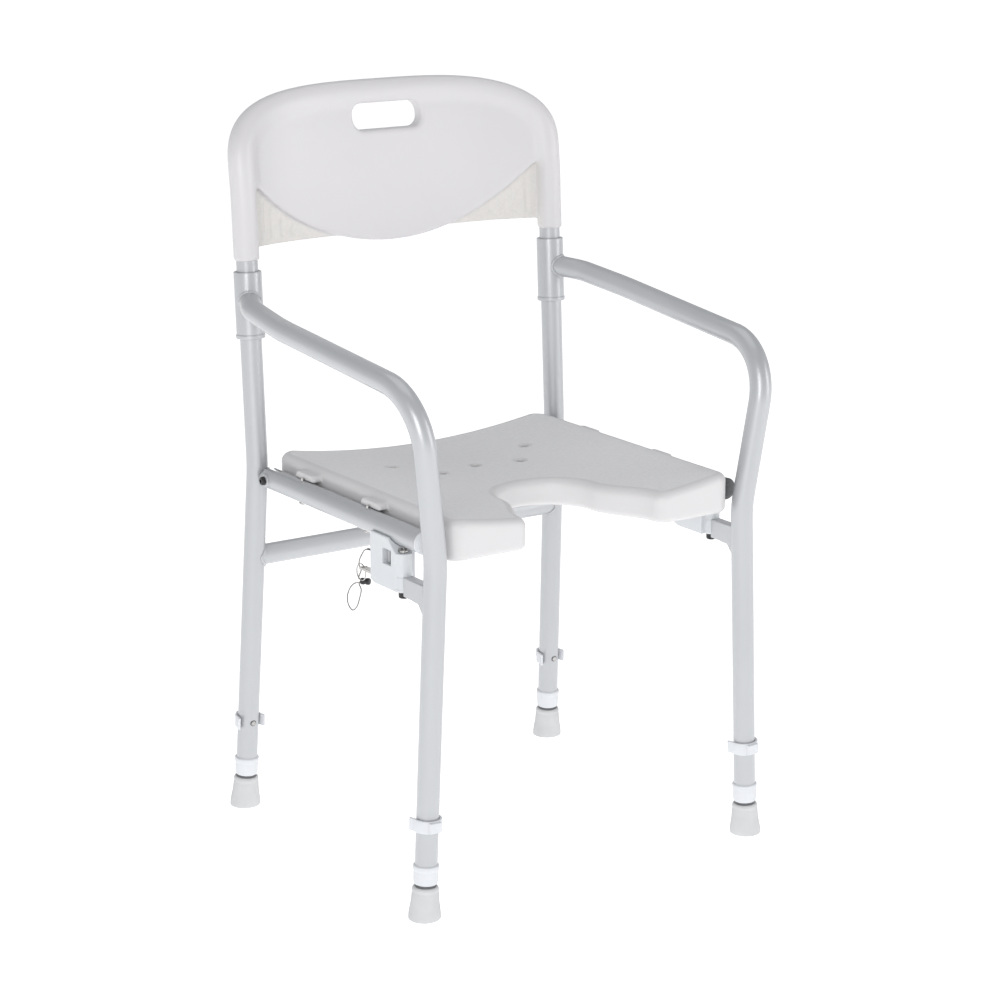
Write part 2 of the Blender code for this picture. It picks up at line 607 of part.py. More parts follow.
def resampled(path, step):
    lengths = np.cumsum([0] + [(b - a).length for a, b in zip(path[:-1], path[1:])])
    n = max(3, int(round(lengths[-1] / step)) + 1)
    out = []
    for d in np.linspace(0, lengths[-1], n):
        i = min(len(path) - 2, max(0, int(np.searchsorted(lengths, d)) - 1))
        f = (d - lengths[i]) / (lengths[i + 1] - lengths[i])
        out.append(path[i].lerp(path[i + 1], float(f)))
    return out


CABLE_R = 0.75


def cable(name, route, step=3.6):
    path = resampled(catmull(route, 12), step)
    curve = bpy.data.curves.new(name, "CURVE")
    curve.dimensions = "3D"
    curve.bevel_depth = CABLE_R * MM
    curve.bevel_resolution = 2
    curve.use_fill_caps = True
    spline = curve.splines.new("POLY")
    spline.points.add(len(path) - 1)
    for point, co in zip(spline.points, path):
        point.co = (*((co - pin_axis) * MM), 1)
    obj = bpy.data.objects.new(name, curve)
    curve.materials.append(M["cable"])
    bpy.context.collection.objects.link(obj)
    obj.location = pin_axis * MM
    return obj


# the three wire ends leave the sleeve's rear end side by side
mouth = ferrule_c + ferrule_dir * 5.9
over = mouth + Vector((0, 0, 2.1))
leg_a = mouth + Vector((-0.9, -0.5, -1.2))
leg_b = mouth + Vector((1.1, 0.6, -1.2))
# from the saddle's rear face, through the ring, to the sleeve
cable("lanyard_cable", [
    P(-218.5, -299.2, 392.0), P(-219.0, -292.0, 392.4), P(-218.6, -283.0, 389.4), P(-217.6, -275.0, 382.8),
    P(-216.4, -267.0, 373.4), P(-214.6, -263.4, 366.0), P(-211.2, -261.6, 359.6), P(-208.4, -254.4, 353.6),
    over + ferrule_dir * 3.2 + Vector((1.0, 0.4, 0.9)), over + ferrule_dir * 0.3,
])
# loop hanging from the sleeve
cable("lanyard_loop", [
    leg_a, leg_a + ferrule_dir * 3.0 + Vector((-0.4, 0.4, -0.6)), P(-212.4, -247.0, 340.2), P(-213.0, -239.5, 333.2), P(-213.2, -234.2, 323.0), P(-212.8, -235.4, 313.2),
    P(-212.0, -243.2, 308.4), P(-210.8, -251.0, 314.6), P(-209.4, -254.6, 325.0), P(-208.2, -256.2, 335.0), leg_b + ferrule_dir * 2.4 + Vector((-0.2, 0.2, -2.6)), leg_b,
], 3.2)

# ---------------------------------------------------------------- backrest
def back_y(x, z):
    """Middle surface of the backrest: raked with the uprights, rolling back at the top, wrapped about the sitter."""
    rake = REAR_TOP[1] + (z - REAR_TOP[2]) * (REAR_TOP[1] - REAR_BEND[1]) / (REAR_TOP[2] - REAR_BEND[2])
    roll = 0.0013 * max(0.0, z - 742.0) ** 2
    f = min(1.0, abs(x) / BACK_HALF)
    return rake + roll + BACK_WRAP * (1 - f ** 4)


def rim_path():
    """Centre line of the rim: up the left side, over the arched top and down the right."""
    pts = []
    zs = (BACK_BOTTOM, 700, 728, 752, 774)
    for z in zs:
        pts.append((-BACK_HALF + (0 if z < 700 else 0), z))
    # superellipse quarter from the side to the crown
    z0 = 774.0
    for k in range(1, 16):
        a = math.pi / 2 * k / 15
        n = 2 / 3.1
        x = -BACK_HALF * math.cos(a) ** n
        z = z0 + (BACK_TOP - z0) * math.sin(a) ** n
        pts.append((x if k < 15 else 0.0, z if k < 15 else BACK_TOP))
    right = [(-x, z) for x, z in reversed(pts[:-1])]
    full = pts + right
    # even out the spacing, keeping the two ends
    path = [P(x, back_y(x, z) if z > 700 or abs(x) < 200 else back_y(BACK_HALF, z), z) for x, z in full]
    return resampled(path, 19.0)


def crown(x):
    """Height of the rim's centre line above x."""
    n = 3.1
    f = min(0.9999, abs(x) / BACK_HALF)
    return 774.0 + (BACK_TOP - 774.0) * (1 - f ** n) ** (1 / n)


def strip(stations, section):
    """Lofts a closed (y, z) section over x stations."""
    bm = bmesh.new()
    rows = [[bm.verts.new(P(x, y, z)) for y, z in section(x)] for x in stations]
    for a, b in zip(rows[:-1], rows[1:]):
        for i in range(len(a)):
            j = (i + 1) % len(a)
            bm.faces.new((a[i], a[j], b[j], b[i]))
    bm.faces.new(rows[0])
    bm.faces.new(rows[-1])
    bmesh.ops.recalc_face_normals(bm, faces=bm.faces)
    return bm


LENS_EDGE, LENS_LOW = 757.0, 676.0
sag = LENS_EDGE - LENS_LOW
LENS_RADIUS = (195.0 ** 2 + sag ** 2) / (2 * sag)


def lens_bottom(x):
    return LENS_LOW + LENS_RADIUS - math.sqrt(LENS_RADIUS ** 2 - x * x)


def lens_section(x):
    zb, zt = lens_bottom(x), crown(x) + 1.0
    front, rear = -11.5, 8.0
    zs = [zb + (zt - zb) * k / 5 for k in range(6)]
    left = [(back_y(x, z) + front, z) for z in zs]
    right = [(back_y(x, z) + rear, z) for z in reversed(zs)]
    return left + right


def apron_section(x):
    zt = lens_bottom(x) + 6.0 if lens_bottom(x) > 690 else 696.0
    zb = 686.0
    zs = [zb, (zb + zt) / 2, zt]
    return [(back_y(x, z) - 3.0, z) for z in zs] + [(back_y(x, z) + 6.5, z) for z in reversed(zs)]


backrest = make("backrest_panel", sweep(rim_path(), BACK_RIM_R, first=Vector((0, 1, 0)), sides=16), M["white"])
lens_x = [202.0 * math.sin(math.pi / 2 * k / 9) for k in range(-9, 10)]
boolean(backrest, helper("lens", strip(lens_x, lens_section)), "UNION")
apron_x = [203.0 * k / 9 for k in range(-9, 10)]
boolean(backrest, helper("apron", strip(apron_x, apron_section)), "UNION")
slot = []
for cx, a0 in ((32.0, -90), (-32.0, 90)):
    slot += arc(cx, 823.0, 15.5, a0, a0 + 180, 8)
boolean(backrest, helper("hand_slot", prism(slot, -30, 80, plane="XZ")))
for label, s in SIDE:
    top = upright_at(s, REAR_TOP[2])
    low = upright_at(s, 640)
    d = (top - low).normalized()
    boolean(backrest, helper("socket_" + label, rod(low, top + d * 3.0, TUBE_R + GAP, 16)))
    # screw from the rear, through the rim into the upright
    c = upright_at(s, 712)
    back = Vector((0, 1, 0))
    boolean(backrest, helper("rim_screw_" + label, rod(c + back * 11, c + back * 22, 2.3, 8)))
    boolean(uprights[s], helper("upright_screw_" + label, rod(c + back * 8, c + back * 20, 2.3, 8)))
    make(
        "backrest_screw_" + label,
        lathe([(0, 0), (1.9, 0), (1.9, 5.4), (4.0, 5.4), (4.0, 6.6), (2.4, 7.8), (0, 7.8)], c + back * 10.0, back, 8),
        M["steel"],
    )
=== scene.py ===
"""Folding shower chair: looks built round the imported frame."""
import json
import math

import bmesh
import bpy
import numpy as np
from mathutils import Matrix, Vector


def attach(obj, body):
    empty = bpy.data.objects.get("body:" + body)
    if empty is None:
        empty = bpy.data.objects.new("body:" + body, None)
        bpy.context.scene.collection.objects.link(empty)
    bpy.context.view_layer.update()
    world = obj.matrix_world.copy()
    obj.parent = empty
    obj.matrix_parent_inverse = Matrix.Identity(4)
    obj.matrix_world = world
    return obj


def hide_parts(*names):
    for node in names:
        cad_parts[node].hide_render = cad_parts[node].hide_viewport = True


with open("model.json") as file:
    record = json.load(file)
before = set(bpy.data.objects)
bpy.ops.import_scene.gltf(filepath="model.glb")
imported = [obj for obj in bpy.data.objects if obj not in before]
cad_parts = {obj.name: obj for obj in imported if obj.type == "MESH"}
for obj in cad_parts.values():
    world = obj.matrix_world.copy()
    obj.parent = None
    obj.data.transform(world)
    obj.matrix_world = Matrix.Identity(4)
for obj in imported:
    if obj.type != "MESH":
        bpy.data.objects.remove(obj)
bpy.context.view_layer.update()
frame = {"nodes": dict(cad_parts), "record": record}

NODES = frame["nodes"]
for old in list(bpy.data.materials):
    bpy.data.materials.remove(old)
MM = 0.001
Y0 = 190.9                     # the rear feet's line, mm behind the origin
SIDES = (("left", -1), ("right", 1))


def P(x, y, z):
    """Millimetres, y from the rear feet's line."""
    return Vector((x, y + Y0, z))


def side(p, s):
    return P(p[0] * s, p[1], p[2])


# ------------------------------------------------------------------ camera
scene = bpy.context.scene
cam_data = bpy.data.cameras.new("camera")
cam_data.lens = 96.95
cam_data.sensor_width = 36.0
cam_data.clip_end = 60.0
cam = bpy.data.objects.new("camera", cam_data)
scene.collection.objects.link(cam)
cam.location = Vector((-1.687, -2.5481, 1.212))
look = Vector((0.0166, -0.0091, 0.3928)) - cam.location
cam.rotation_euler = look.to_track_quat("-Z", "Y").to_euler()
scene.camera = cam
scene.view_settings.view_transform = "Standard"


# ------------------------------------------------------------------ materials
def nodes_of(mat):
    tree = mat.node_tree
    return tree, tree.nodes, tree.links


def surface(name, colour, rough, metal=0.0, vary=0.03, vary_scale=9.0, rough_vary=0.06, grain=(700.0, 0.02, 0.0004), coat=0.0, coat_rough=0.2, sss=0.0, sss_radius=0.006, spec=0.5, coords="Object"):
    """Principled material: soft colour drift, roughness drift and a fine bump, all from noise in object space."""
    mat = bpy.data.materials.new(name)
    mat.use_nodes = True
    tree, nodes, links = nodes_of(mat)
    bsdf = nodes["Principled BSDF"]
    tc = nodes.new("ShaderNodeTexCoord")
    big = nodes.new("ShaderNodeTexNoise")
    big.inputs["Scale"].default_value = vary_scale
    big.inputs["Detail"].default_value = 4.0
    links.new(tc.outputs[coords], big.inputs["Vector"])
    ramp = nodes.new("ShaderNodeValToRGB")
    ramp.color_ramp.elements[0].position = 0.3
    ramp.color_ramp.elements[1].position = 0.7
    lo = [max(0.0, c * (1 - vary)) for c in colour]
    hi = [min(1.0, c * (1 + vary)) for c in colour]
    ramp.color_ramp.elements[0].color = (*lo, 1)
    ramp.color_ramp.elements[1].color = (*hi, 1)
    links.new(big.outputs["Fac"], ramp.inputs["Fac"])
    links.new(ramp.outputs["Color"], bsdf.inputs["Base Color"])
    mid = nodes.new("ShaderNodeTexNoise")
    mid.inputs["Scale"].default_value = vary_scale * 6
    mid.inputs["Detail"].default_value = 5.0
    links.new(tc.outputs[coords], mid.inputs["Vector"])
    span = nodes.new("ShaderNodeMapRange")
    span.inputs["To Min"].default_value = max(0.02, rough - rough_vary)
    span.inputs["To Max"].default_value = min(1.0, rough + rough_vary)
    links.new(mid.outputs["Fac"], span.inputs["Value"])
    links.new(span.outputs["Result"], bsdf.inputs["Roughness"])
    bsdf.inputs["Metallic"].default_value = metal
    bsdf.inputs["Coat Weight"].default_value = coat
    bsdf.inputs["Coat Roughness"].default_value = coat_rough
    bsdf.inputs["Specular IOR Level"].default_value = spec
    if sss:
        bsdf.inputs["Subsurface Weight"].default_value = sss
        bsdf.inputs["Subsurface Radius"].default_value = (1.0, 0.85, 0.75)
        bsdf.inputs["Subsurface Scale"].default_value = sss_radius
    fine = nodes.new("ShaderNodeTexNoise")
    fine.inputs["Scale"].default_value = grain[0]
    fine.inputs["Detail"].default_value = 3.0
    links.new(tc.outputs[coords], fine.inputs["Vector"])
    bump = nodes.new("ShaderNodeBump")
    bump.inputs["Strength"].default_value = grain[1]
    bump.inputs["Distance"].default_value = grain[2]
    links.new(fine.outputs["Fac"], bump.inputs["Height"])
    links.new(bump.outputs["Normal"], bsdf.inputs["Normal"])
    return mat


def mixed_white(name, base, other, attribute, rough, rough_other, grain_strength, sss=0.12):
    """White polythene; where the attribute is 1 it turns to the other tone and takes a leathery moulded grain."""
    mat = surface(name, base, rough, vary=0.012, vary_scale=5.0, rough_vary=0.04, grain=(420.0, 0.05, 0.0004), sss=sss, spec=0.5)
    tree, nodes, links = nodes_of(mat)
    bsdf = nodes["Principled BSDF"]
    att = nodes.new("ShaderNodeAttribute")
    att.attribute_name = attribute
    old_colour = bsdf.inputs["Base Color"].links[0].from_socket
    mix = nodes.new("ShaderNodeMix")
    mix.data_type = "RGBA"
    mix.blend_type = "MIX"
    tone = nodes.new("ShaderNodeTexNoise")
    tc = next(n for n in nodes if n.bl_idname == "ShaderNodeTexCoord")
    tone.inputs["Scale"].default_value = 260.0
    tone.inputs["Detail"].default_value = 2.0
    links.new(tc.outputs["Object"], tone.inputs["Vector"])
    ramp = nodes.new("ShaderNodeValToRGB")
    ramp.color_ramp.elements[0].position = 0.35
    ramp.color_ramp.elements[1].position = 0.65
    ramp.color_ramp.elements[0].color = (*[c * 0.975 for c in other], 1)
    ramp.color_ramp.elements[1].color = (*[min(1, c * 1.02) for c in other], 1)
    links.new(tone.outputs["Fac"], ramp.inputs["Fac"])
    links.new(att.outputs["Fac"], mix.inputs["Factor"])
    links.new(old_colour, mix.inputs["A"])
    links.new(ramp.outputs["Color"], mix.inputs["B"])
    links.new(mix.outputs["Result"], bsdf.inputs["Base Color"])
    old_rough = bsdf.inputs["Roughness"].links[0].from_socket
    rmix = nodes.new("ShaderNodeMix")
    rmix.data_type = "FLOAT"
    links.new(att.outputs["Fac"], rmix.inputs["Factor"])
    links.new(old_rough, rmix.inputs["A"])
    rmix.inputs["B"].default_value = rough_other
    links.new(rmix.outputs["Result"], bsdf.inputs["Roughness"])
    if grain_strength:
        cells = nodes.new("ShaderNodeTexVoronoi")
        cells.inputs["Scale"].default_value = 520.0
        links.new(tc.outputs["Object"], cells.inputs["Vector"])
        power = nodes.new("ShaderNodeMath")
        power.operation = "MULTIPLY"
        links.new(cells.outputs["Distance"], power.inputs[0])
        links.new(att.outputs["Fac"], power.inputs[1])
        bump = nodes.new("ShaderNodeBump")
        bump.inputs["Strength"].default_value = grain_strength
        bump.inputs["Distance"].default_value = 0.0005
        links.new(power.outputs["Value"], bump.inputs["Height"])
        old_normal = bsdf.inputs["Normal"].links[0].from_socket
        links.new(old_normal, bump.inputs["Normal"])
        links.new(bump.outputs["Normal"], bsdf.inputs["Normal"])
    return mat


TUBE = surface("silver_enamel", (0.505, 0.515, 0.53), 0.33, metal=0.35, vary=0.02, vary_scale=6, rough_vary=0.05, grain=(900.0, 0.05, 0.0003), coat=0.25, coat_rough=0.15)
INNER = surface("anodised_inner_tube", (0.56, 0.58, 0.60), 0.3, metal=0.7, vary=0.03, vary_scale=30, grain=(1500.0, 0.04, 0.0002))
WHITE_SEAT = mixed_white("polythene_seat", (0.67, 0.66, 0.665), (0.79, 0.785, 0.79), "grain", 0.36, 0.55, 0.35)
WHITE_BACK = mixed_white("polythene_back", (0.665, 0.65, 0.662), (0.70, 0.68, 0.655), "cream", 0.36, 0.5, 0.0)
CLIP = surface("light_grey_plastic", (0.66, 0.68, 0.70), 0.42, vary=0.02, vary_scale=25, grain=(800.0, 0.06, 0.0003), sss=0.05, sss_radius=0.003)
CLIP_PALE = surface("pale_grey_plastic", (0.70, 0.715, 0.74), 0.4, vary=0.02, vary_scale=25, grain=(800.0, 0.06, 0.0003), sss=0.05, sss_radius=0.003)
RUBBER = surface("grey_rubber", (0.61, 0.615, 0.62), 0.6, vary=0.04, vary_scale=40, grain=(600.0, 0.14, 0.0005), spec=0.35)
PLUG = surface("dark_grey_plastic", (0.13, 0.135, 0.14), 0.45, vary=0.06, vary_scale=60, grain=(900.0, 0.1, 0.0004))
NUT = surface("black_nylon", (0.012, 0.012, 0.014), 0.38, vary=0.1, vary_scale=60, grain=(900.0, 0.1, 0.0004))
STEEL = surface("bright_steel", (0.50, 0.49, 0.475), 0.26, metal=1.0, vary=0.08, vary_scale=80, rough_vary=0.1, grain=(1500.0, 0.06, 0.0002))
WELD = surface("enamelled_weld", (0.505, 0.515, 0.53), 0.36, metal=0.3, vary=0.03, vary_scale=60, grain=(260.0, 0.35, 0.0009), coat=0.2)


def strand_material():
    """Stranded steel wire: fine slanting bands."""
    mat = surface("stranded_wire", (0.30, 0.285, 0.275), 0.34, metal=0.9, vary=0.15, vary_scale=200)
    tree, nodes, links = nodes_of(mat)
    bsdf = nodes["Principled BSDF"]
    tc = next(n for n in nodes if n.bl_idname == "ShaderNodeTexCoord")
    wave = nodes.new("ShaderNodeTexWave")
    wave.bands_direction = "DIAGONAL"
    wave.inputs["Scale"].default_value = 420.0
    wave.inputs["Distortion"].default_value = 1.5
    links.new(tc.outputs["Object"], wave.inputs["Vector"])
    bump = nodes.new("ShaderNodeBump")
    bump.inputs["Strength"].default_value = 0.8
    bump.inputs["Distance"].default_value = 0.0004
    links.new(wave.outputs["Fac"], bump.inputs["Height"])
    links.new(bump.outputs["Normal"], bsdf.inputs["Normal"])
    return mat


WIRE = strand_material()
NODE_MAT = {"aluminium_tube": TUBE, "white_plastic": WHITE_BACK, "grey_plastic": CLIP, "grey_rubber": RUBBER, "dark_plastic": PLUG, "black_plastic": NUT, "bright_steel": STEEL, "steel_cable": WIRE}
for part in frame["record"]["subparts"]:
    node = NODES[part["node"]]
    node.data.materials.clear()
    node.data.materials.append(NODE_MAT[part["material_slot"]])


# ------------------------------------------------------------------ mesh helpers
def finish_mesh(name, bm, mat, sharp=35.0, keep_normals=False):
    bmesh.ops.scale(bm, vec=(MM, MM, MM), verts=bm.verts)
    if not keep_normals:
        bmesh.ops.recalc_face_normals(bm, faces=bm.faces)
    mesh = bpy.data.meshes.new(name)
    bm.to_mesh(mesh)
    bm.free()
    mesh.shade_smooth()
    if sharp:
        mesh.set_sharp_from_angle(angle=math.radians(sharp))
    mesh.materials.append(mat)
    obj = bpy.data.objects.new(name, mesh)
    scene.collection.objects.link(obj)
    return obj


def place(obj, body, *nodes):
    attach(obj, body)
    if nodes:
        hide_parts(*nodes)
    return obj


def applied(obj):
    """Turns the modifiers into the mesh."""
    graph = bpy.context.evaluated_depsgraph_get()
    graph.update()
    mesh = bpy.data.meshes.new_from_object(obj.evaluated_get(graph))
    mats = list(obj.data.materials)
    obj.modifiers.clear()
    old = obj.data
    obj.data = mesh
    bpy.data.meshes.remove(old)
    if not mesh.materials:
        for m in mats:
            mesh.materials.append(m)
    return obj


def cut(obj, cutters, operation="DIFFERENCE", sharp=35.0):
    for c in cutters:
        mod = obj.modifiers.new("cut", "BOOLEAN")
        mod.operation = operation
        mod.solver = "EXACT"
        mod.object = c
    applied(obj)
    for c in cutters:
        bpy.data.objects.remove(c, do_unlink=True)
    obj.data.shade_smooth()
    obj.data.set_sharp_from_angle(angle=math.radians(sharp))
    return obj


def tool(bm):
    return finish_mesh("cutter", bm, TUBE)


def rounded_path(points, radii, step=math.radians(9)):
    out = [points[0]]
    for i in range(1, len(points) - 1):
        a = (points[i - 1] - points[i]).normalized()
        b = (points[i + 1] - points[i]).normalized()
        theta = a.angle(b)
        r = radii[i - 1]
        t = r / math.tan(theta / 2)
        centre = points[i] + (a + b).normalized() * (r / math.sin(theta / 2))
        s, e = points[i] + a * t - centre, points[i] + b * t - centre
        ang = math.pi - theta
        n = max(1, round(ang / step))
        for k in range(n + 1):
            f = k / n
            out.append(centre + (s * math.sin((1 - f) * ang) + e * math.sin(f * ang)) / math.sin(ang))
    out.append(points[-1])
    return out


def frames_of(path, first=None, closed=False):
    tangents = []
    n = len(path)
    for i in range(n):
        a = path[(i - 1) % n if closed else max(i - 1, 0)]
        b = path[(i + 1) % n if closed else min(i + 1, n - 1)]
        tangents.append((b - a).normalized())
    u = first or Vector((0, 1, 0))
    u = (u - tangents[0] * u.dot(tangents[0])).normalized()
    out = []
    for t in tangents:
        u = (u - t * u.dot(t)).normalized()
        out.append((u.copy(), t.cross(u)))
    return out


def sweep(path, r, r_in=None, sides=48, first=None, closed=False, bm=None):
    bm = bm or bmesh.new()
    fr = frames_of(path, first, closed)

    def rings(radius):
        out = []
        for i, (p, (u, v)) in enumerate(zip(path, fr)):
            rr = radius(i) if callable(radius) else radius
            out.append([bm.verts.new(p + u * (rr * math.cos(2 * math.pi * k / sides)) + v * (rr * math.sin(2 * math.pi * k / sides))) for k in range(sides)])
        pairs = list(zip(out[:-1], out[1:])) + ([(out[-1], out[0])] if closed else [])
        for lo, hi in pairs:
            for k in range(sides):
                j = (k + 1) % sides
                bm.faces.new((lo[k], lo[j], hi[j], hi[k]))
        return out

    outer = rings(r)
    if r_in:
        inner = rings(r_in)
        for end in (0, -1):
            for k in range(sides):
                j = (k + 1) % sides
                bm.faces.new((outer[end][k], outer[end][j], inner[end][j], inner[end][k]))
    elif not closed:
        bm.faces.new(outer[0])
        bm.faces.new(outer[-1])
    return bm


def lathe(profile, base, axis, sides=64, bm=None):
    bm = bm or bmesh.new()
    axis = axis.normalized()
    u = Vector((0, 1, 0)) if abs(axis.y) < 0.95 else Vector((1, 0, 0))
    u = (u - axis * u.dot(axis)).normalized()
    v = axis.cross(u)
    rings = []
    for r, h in profile:
        c = base + axis * h
        if r < 1e-6:
            rings.append([bm.verts.new(c)])
        else:
            rings.append([bm.verts.new(c + u * (r * math.cos(2 * math.pi * k / sides)) + v * (r * math.sin(2 * math.pi * k / sides))) for k in range(sides)])
    n = len(rings)
    for i in range(n):
        a, b = rings[i], rings[(i + 1) % n]
        if len(a) == 1 and len(b) == 1:
            continue
        for k in range(sides):
            j = (k + 1) % sides
            if len(a) == 1:
                bm.faces.new((a[0], b[j], b[k]))
            elif len(b) == 1:
                bm.faces.new((a[k], a[j], b[0]))
            else:
                bm.faces.new((a[k], a[j], b[j], b[k]))
    return bm


def soft(profile, r=0.8, n=4, closed=True):
    """Rounds the corners of a (radius, height) loop; points at radius 0 stay."""
    out = []
    m = len(profile)
    for i, p in enumerate(profile):
        a, b = profile[i - 1], profile[(i + 1) % m]
        if p[0] < 1e-6:
            out.append(p)
            continue
        pv, av, bv = Vector(p), Vector(a), Vector(b)
        da, db = (av - pv), (bv - pv)
        la, lb = da.length, db.length
        if la < 1e-6 or lb < 1e-6:
            out.append(p)
            continue
        ang = da.angle(db)
        if ang > math.radians(160):
            out.append(p)
            continue
        t = min(r / math.tan(ang / 2), la * 0.45, lb * 0.45)
        s, e = pv + da.normalized() * t, pv + db.normalized() * t
        for k in range(n + 1):
            f = k / n
            q = s * (1 - f) ** 2 + pv * 2 * f * (1 - f) + e * f * f
            out.append((q.x, q.y))
    return out


def rod(a, b, r, sides=24, bm=None):
    axis = b - a
    return lathe([(0, 0), (r, 0), (r, axis.length), (0, axis.length)], a, axis, sides, bm)


def prism(loop, lo, hi, plane="YZ"):
    bm = bmesh.new()

    def at(a, b, c):
        return P(c, a, b) if plane == "YZ" else P(a, c, b) if plane == "XZ" else P(a, b, c)

    bottom = [bm.verts.new(at(a, b, lo)) for a, b in loop]
    top = [bm.verts.new(at(a, b, hi)) for a, b in loop]
    bm.faces.new(bottom)
    bm.faces.new(top)
    for i in range(len(loop)):
        j = (i + 1) % len(loop)
        bm.faces.new((bottom[i], bottom[j], top[j], top[i]))
    bmesh.ops.recalc_face_normals(bm, faces=bm.faces)
    return bm


def arc(cx, cy, r, a0, a1, n):
    return [(cx + r * math.cos(math.radians(a0 + (a1 - a0) * k / n)), cy + r * math.sin(math.radians(a0 + (a1 - a0) * k / n))) for k in range(n + 1)]


def ribbon(path, normals, widths, half_thick, half_width, axis, corner=0.9):
    """A flat band with rounded corners along a path; normals point out of it, axis is across it."""
    bm = bmesh.new()
    rows = []
    for p, nrm, w in zip(path, normals, widths):
        ring = []
        for cx, cy, a0 in ((1, 1, 0), (-1, 1, 90), (-1, -1, 180), (1, -1, 270)):
            for k in range(4):
                a = math.radians(a0 + 30 * k)
                x = cx * (half_thick * w - corner) + corner * math.cos(a)
                y = cy * (half_width - corner) + corner * math.sin(a)
                ring.append(bm.verts.new(p + nrm * x + axis * y))
        rows.append(ring)
    n = len(rows[0])
    for lo, hi in zip(rows[:-1], rows[1:]):
        for k in range(n):
            j = (k + 1) % n
            bm.faces.new((lo[k], lo[j], hi[j], hi[k]))
    bm.faces.new(rows[0])
    bm.faces.new(rows[-1])
    return bm


def remeshed_copy(name, node, voxel, smooth, mat, factor=0.5):
    """A copy of a CAD node, remeshed evenly and eased so that its moulded or filed edges are soft."""
    obj = bpy.data.objects.new(name, NODES[node].data.copy())
    scene.collection.objects.link(obj)
    obj.data.materials.clear()
    weld = obj.modifiers.new("weld", "WELD")
    weld.merge_threshold = 0.00001
    rem = obj.modifiers.new("remesh", "REMESH")
    rem.mode = "VOXEL"
    rem.voxel_size = voxel * MM
    rem.use_smooth_shade = True
    if smooth:
        sm = obj.modifiers.new("smooth", "SMOOTH")
        sm.factor = factor
        sm.iterations = smooth
    applied(obj)
    obj.data.materials.clear()
    obj.data.materials.append(mat)
    obj.data.shade_smooth()
    return obj


# ------------------------------------------------------------------ the frame's own lines, mm
TUBE_R, COLLAR_R, EXT_R = 12.7, 16.4, 11.0
REAR_FOOT, REAR_BEND, REAR_TOP = (224.8, 0.0, 0.0), (213.0, -29.8, 430.0), (213.4, -12.8, 752.0)
FRONT_FOOT, FRONT_BEND = (225.8, -412.0, 0.0), (208.6, -412.6, 405.0)
ARM_FRONT, ARM_REAR = (233.1, -423.8, 588.2), (239.2, -140.0, 615.3)
ARM_ROOT_BEND, ARM_ROOT = (232.5, -62.0, 624.0), (213.5, -20.5, 628.0)
FOOT_H, BUSH_Z, CLIP_Z, EXT_TOP = 38.0, (41.0, 63.0), 110.0, 285.0
COLLAR_Z = (583.0, 661.0)
PIVOT_Y, RAIL_Z, RAIL_X, RAIL_FRONT = -57.0, 419.5, 206.0, -384.0
CROSSBAR_Z = 319.3
PIN_X, PIN_Z, BARREL_Y, BARREL_R, SADDLE_BOTTOM = 212.0, 364.3, -353.0, 9.6, 358.5


def leg_axis(s, rear):
    a = side(REAR_FOOT if rear else FRONT_FOOT, s)
    b = side(REAR_BEND if rear else FRONT_BEND, s)
    return a, (b - a).normalized()


def on_leg(s, rear, z):
    a, d = leg_axis(s, rear)
    return a + d * (z / d.z)


def upright_at(s, z):
    foot, bend, top = side(REAR_FOOT, s), side(REAR_BEND, s), side(REAR_TOP, s)
    if z < bend.z:
        return foot.lerp(bend, z / bend.z)
    return bend.lerp(top, (z - bend.z) / (top.z - bend.z))


# ------------------------------------------------------------------ lanyard (cord)
CABLE_R = 0.75


def catmull(points, per):
    pts = [points[0] * 2 - points[1]] + list(points) + [points[-1] * 2 - points[-2]]
    out = []
    for i in range(1, len(pts) - 2):
        p0, p1, p2, p3 = pts[i - 1:i + 3]
        for k in range(per):
            t = k / per
            out.append(0.5 * (2 * p1 + (p2 - p0) * t + (2 * p0 - 5 * p1 + 4 * p2 - p3) * t * t + (3 * p1 - p0 - 3 * p2 + p3) * t ** 3))
    out.append(pts[-2])
    return out


def resampled(path, step):
    lengths = np.cumsum([0] + [(b - a).length for a, b in zip(path[:-1], path[1:])])
    n = max(3, int(round(lengths[-1] / step)) + 1)
    out = []
    for d in np.linspace(0, lengths[-1], n):
        i = min(len(path) - 2, max(0, int(np.searchsorted(lengths, d)) - 1))
        f = (d - lengths[i]) / (lengths[i + 1] - lengths[i])
        out.append(path[i].lerp(path[i + 1], float(f)))
    return out


pin_axis = P(-PIN_X, -300, PIN_Z)
ferrule_c = P(-204.2, -259.0, 344.8)
ferrule_dir = Vector((-0.55, 0.83, -0.05)).normalized()
mouth = ferrule_c + ferrule_dir * 5.9
over = mouth + Vector((0, 0, 2.1))
leg_a = mouth + Vector((-0.9, -0.5, -1.2))
leg_b = mouth + Vector((1.1, 0.6, -1.2))
route_a = [
    P(-218.5, -299.2, 392.0), P(-219.0, -292.0, 392.4), P(-218.6, -283.0, 389.4), P(-217.6, -275.0, 382.8),
    P(-216.4, -267.0, 373.4), P(-214.6, -263.4, 366.0), P(-211.2, -261.6, 359.6), P(-208.4, -254.4, 353.6),
    over + ferrule_dir * 3.2 + Vector((1.0, 0.4, 0.9)), over + ferrule_dir * 0.3,
]
route_b = [
    leg_a, leg_a + ferrule_dir * 3.0 + Vector((-0.4, 0.4, -0.6)), P(-212.4, -247.0, 340.2), P(-213.0, -239.5, 333.2), P(-213.2, -234.2, 323.0), P(-212.8, -235.4, 313.2),
    P(-212.0, -243.2, 308.4), P(-210.8, -251.0, 314.6), P(-209.4, -254.6, 325.0), P(-208.2, -256.2, 335.0), leg_b + ferrule_dir * 2.4 + Vector((-0.2, 0.2, -2.6)), leg_b,
]


